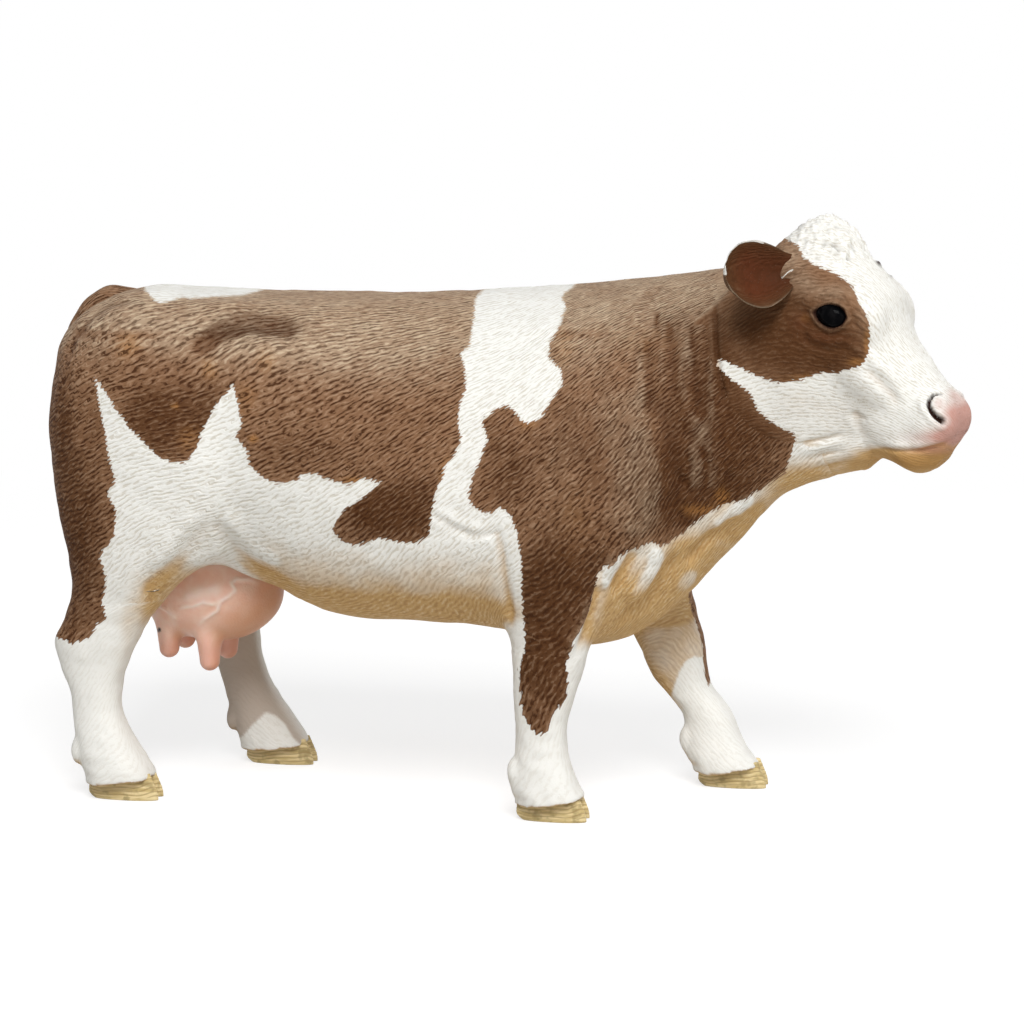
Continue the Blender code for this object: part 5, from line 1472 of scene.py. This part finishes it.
x, y, z = grid(low, UDDER_MIDDLE + (0.0135, 0.0105, 0.0100), UDDER_CELL)
# The bag's own frame falls backwards by UDDER_FALL
along, level = x - UDDER_MIDDLE[0], z - UDDER_MIDDLE[2]
fallen = (
    UDDER_MIDDLE[0] + along * math.cos(UDDER_FALL) - level * math.sin(UDDER_FALL),
    y,
    UDDER_MIDDLE[2] + along * math.sin(UDDER_FALL) + level * math.cos(UDDER_FALL),
)
radii = (UDDER_LENGTH / 2, UDDER_WIDTH / 2, UDDER_DEPTH / 2)
skin = as_distance(ellipsoid_distance(*fallen, UDDER_MIDDLE, radii), UDDER_CELL)
for along, across in TEATS:
    teat_x = UDDER_MIDDLE[0] + along * UDDER_LENGTH
    teat_y = across * UDDER_WIDTH / 2
    inside = math.sqrt(1 - (2 * along) ** 2 - across**2)
    top = UDDER_MIDDLE[2] - UDDER_DEPTH / 2 * inside - along * UDDER_LENGTH * math.tan(UDDER_FALL)
    share = np.clip((top - z) / (TEAT_LENGTH - TEAT_RADIUS), -0.6, 1)
    radius = TEAT_ROOT_RADIUS + (TEAT_RADIUS - TEAT_ROOT_RADIUS) * np.clip(share, 0, 1)
    end = top - share * (TEAT_LENGTH - TEAT_RADIUS)
    stalk = np.sqrt((x - teat_x) ** 2 + (y - teat_y) ** 2 + (z - end) ** 2) - radius
    skin = blended(skin, stalk, TEAT_BLEND)
points, faces = skin_of(skin, low, UDDER_CELL)
normals = normals_of(points, faces)
spots = in_picture(mirrored(points, np.zeros(len(points))))
drawn = folds(spots, VEINS) * soft_step(np.abs(normals[:, 1]), 0.1, 0.5)
rise = drawn + lumps(points, (0.0030, 0.0030, 0.0030), 41) * 0.00010
udder_skin = Finish(
    "udder_skin",
    {
        "Roughness": 0.42,
        "Specular IOR Level": 0.30,
        "Subsurface Weight": 0.22,
        "Subsurface Radius": (0.0016, 0.0007, 0.0004),
        "Subsurface Scale": 1.0,
    },
)
mottle = udder_skin.noise(udder_skin.place(), 420.0, 3.0)
pores = udder_skin.noise(udder_skin.place(), 3600.0, 2.0)
udder_colour = udder_skin.mix(mottle.ramp(0.35, 0.7), UDDER_PINK, UDDER_PALE)
for mark, strength, colour in (
    ("front_shade", 1.0, UDDER_FRONT_SHADE), ("vein", 0.8, VEIN_PALE), ("flush", 0.6, UDDER_FLUSH),
    ("speck", 1.0, SPECK_BLACK),
):
    share = udder_skin.attribute(mark) * strength
    udder_colour = udder_skin.mix(share, udder_colour, colour)
udder_skin.feed("Base Color", udder_colour)
udder_skin.feed("Roughness", pores * 0.25 + 0.30)
udder_skin.feed("Normal", udder_skin.bump(pores + mottle * 0.6, 0.00005))
marks = {
    "vein": np.clip(drawn / 0.0003, 0, 1),
    # Painted shade: the front and the underside of the bag are darker amber
    "front_shade": soft_step(normals[:, 0] - 0.9 * normals[:, 2], 0.20, 1.15) * 0.80,
    "flush": soft_step(UDDER_MIDDLE[2] - 0.0072 - points[:, 2], -0.001, 0.002),
    "speck": soft_step(-np.hypot(*(spots - SPECK_SPOT).T), -2.6, -1.4),
}
bag_points = points + normals * rise[:, None]
make_piece("udder_bag", bag_points, faces, marks, udder_skin, ["udder"])

# The tail: a moulding of soft plastic, a round cord with a brush of hair at its end, glued in a
# groove down the rump. Its rings follow a path in the middle plane.

TAIL_RADIUS = 0.0019
TAIL_PATH = (
    (0, 0.118, 0.930, 0.80),
    (1, 0.078, 0.930, 1.00),
    (2, 0.046, 0.860, 0.92),
    (3, 0.030, 0.745, 0.80),
    (4, 0.026, 0.600, 0.72),
    (5, 0.030, 0.440, 0.68),
    (6, 0.037, 0.290, 0.70),
    (7, 0.041, 0.170, 0.96),
    (8, 0.042, 0.080, 1.00),
    (9, 0.042, 0.005, 0.70),
    (10, 0.042, -0.045, 0.16),
)
step = np.linspace(0, 10, 150)
along, level, thickness = between(TAIL_PATH, step)
x, z = RUMP_X + along * TRUNK_LENGTH, BELLY_HEIGHT + level * TRUNK_DEPTH
run = np.stack((np.gradient(x), np.gradient(z)), axis=-1)
run /= np.linalg.norm(run, axis=1, keepdims=True)
around = np.linspace(0, 2 * math.pi, 64, endpoint=False)
brush = soft_step(step, 5.8, 7.2)[:, None]
locks = np.sin(around * 7 + step[:, None] * 2.3) * 0.10
locks = locks + np.sin(around * 13 - step[:, None] * 3.1) * 0.06
knots = np.sin(step[:, None] * 9.0) * 0.03 * (1 - brush)
radius = TAIL_RADIUS * thickness[:, None] * (1 + locks * brush + knots)
across, out = radius * np.cos(around), radius * np.sin(around)
rings = np.stack((x[:, None] - out * run[:, 1:], across, z[:, None] + out * run[:, :1]), axis=-1)
marks = {
    "coat": np.full(radius.shape, 30.0),
    "warm": np.zeros(radius.shape),
    # Painted highlight on the crests of the brush's locks, and painted shade between them
    "dry": np.clip(0.1 + locks * brush * 3, 0, 0.6),
    "shade_and_stain": np.clip(-locks * brush * 5, 0, 0.8),
    "ochre": np.full(radius.shape, 0.1),
    "comb": np.broadcast_to(np.abs(around - math.pi) * TAIL_RADIUS, radius.shape),
}
rings, marks = rings[:, ::-1], {mark: values[:, ::-1] for mark, values in marks.items()}
make_swept("tail_cord", rings, marks, coat_paint, ["tail"])

# The hooves: two claws to each leg, moulded in one with it and painted the colour of horn over
# wavy growth ridges. Rings follow one another from the worn sole up under the fringe.

CLAW_PART_SHARE = 0.515
CLAW_GAP = 0.0002
TOE_TAPER = 0.20
HOOF_SLOPE = 0.11
HOOF_MIDDLE_HEIGHT = 0.0032
RIDGE_DEPTH = 0.000024
RIDGE_TURNS = 6.2
CLAW_RINGS = 30
SOLE_ROUNDING, SOLE_ROUND_SHARE = 0.10, 0.45
CLAW_LEAN = 0.00045
CLAW_FULLNESS = 1.06
HORN_DARK, HORN_LIGHT = (0.540, 0.410, 0.175), (0.760, 0.620, 0.340)
HORN_BLOTCH, HORN_GROOVE_SHADE = (0.300, 0.225, 0.085), (0.290, 0.190, 0.065)
horn = Finish("hoof_horn_paint", {"Roughness": 0.45})
horn_place = horn.vectors("MULTIPLY", horn.place(), (300.0, 300.0, 2600.0))
grain = horn.noise(horn_place, 1.0, 3.0)
blotch = horn.noise(horn.place(), 700.0, 2.0)
horn_colour = horn.mix(grain.ramp(0.35, 0.65), HORN_DARK, HORN_LIGHT)
horn_colour = horn.mix(blotch.ramp(0.50, 0.68) * 0.7, horn_colour, HORN_BLOTCH)
# Painted shade: the troughs of the growth ridges are darker
horn_colour = horn.mix(horn.attribute("ridge").ramp(0.1, 0.9) * 0.6, horn_colour, HORN_GROOVE_SHADE)
horn.feed("Base Color", horn_colour)
horn.feed("Roughness", grain * 0.2 + 0.36)
horn.feed("Normal", horn.bump(grain, 0.00006))
for leg in LEGS:
    sole_x, sole_y, sole_length, sole_width = (v[0] for v in leg.sizes(np.array([0.0])))
    for across, claw_name in ((-1, "right"), (1, "left")):
        around = np.linspace(0, 2 * math.pi, 96, endpoint=False)
        front, out = np.cos(around), np.sin(around)
        # The wall curves in towards the sole, and two last rings close it above
        wall = np.linspace(0, 1, CLAW_RINGS)
        level = np.concatenate((wall, (1.0, 1.0)))
        rounding = SOLE_ROUNDING * (1 - wall / SOLE_ROUND_SHARE).clip(0) ** 2
        inset = np.concatenate((rounding, (0.25, 0.7)))[:, None]
        half = sole_width * CLAW_PART_SHARE
        # The inner side of the claw is a little flatter
        out = np.where(out * across > 0, 1.0, 0.92) * out
        shape_x = np.sign(front) * np.abs(front) ** 0.92
        shape_y = np.sign(out) * np.abs(out) ** 0.85
        # The tip of each claw lies near the middle line of the leg
        tapered = 1 - TOE_TAPER * (0.5 + 0.5 * across * shape_y) ** 2 * np.clip(front * 2, 0, 1)
        lean = level[:, None]
        top = HOOF_MIDDLE_HEIGHT + HOOF_SLOPE * sole_length * shape_x
        z = lean * top
        sway = 0.35 * np.sin(around * 2 + leg.side + across)
        ridge = np.sin(2 * math.pi * (RIDGE_TURNS * lean + sway + 0.2 * np.sin(around * 5)))
        ridge = ridge * soft_step(lean, 0.04, 0.2) * soft_step(1 - lean, 0.0, 0.12)
        scale = 1.0 - (0.04 + 0.09 * np.clip(front, 0, 1)) * lean
        scale = scale * (1 - inset * (1.0 - 0.9 * np.clip(front, -1, 0.3)))
        toe = 1 + 0.08 * np.clip(front, 0, 1)
        reach = sole_length * scale * toe + ridge * RIDGE_DEPTH
        x = sole_x - CLAW_LEAN * lean * (1 + front) + shape_x * tapered * reach
        reach = half * 0.5 * scale * CLAW_FULLNESS + ridge * RIDGE_DEPTH
        y = sole_y + across * (half * 0.5 + CLAW_GAP) + shape_y * reach
        rings = np.stack(np.broadcast_arrays(x, y, z), axis=-1)
        marks = {"ridge": np.clip(-ridge, 0, 1) * np.ones(rings.shape[:2])}
        make_swept(f"hoof_{leg.name}_{claw_name}", rings, marks, horn, [])
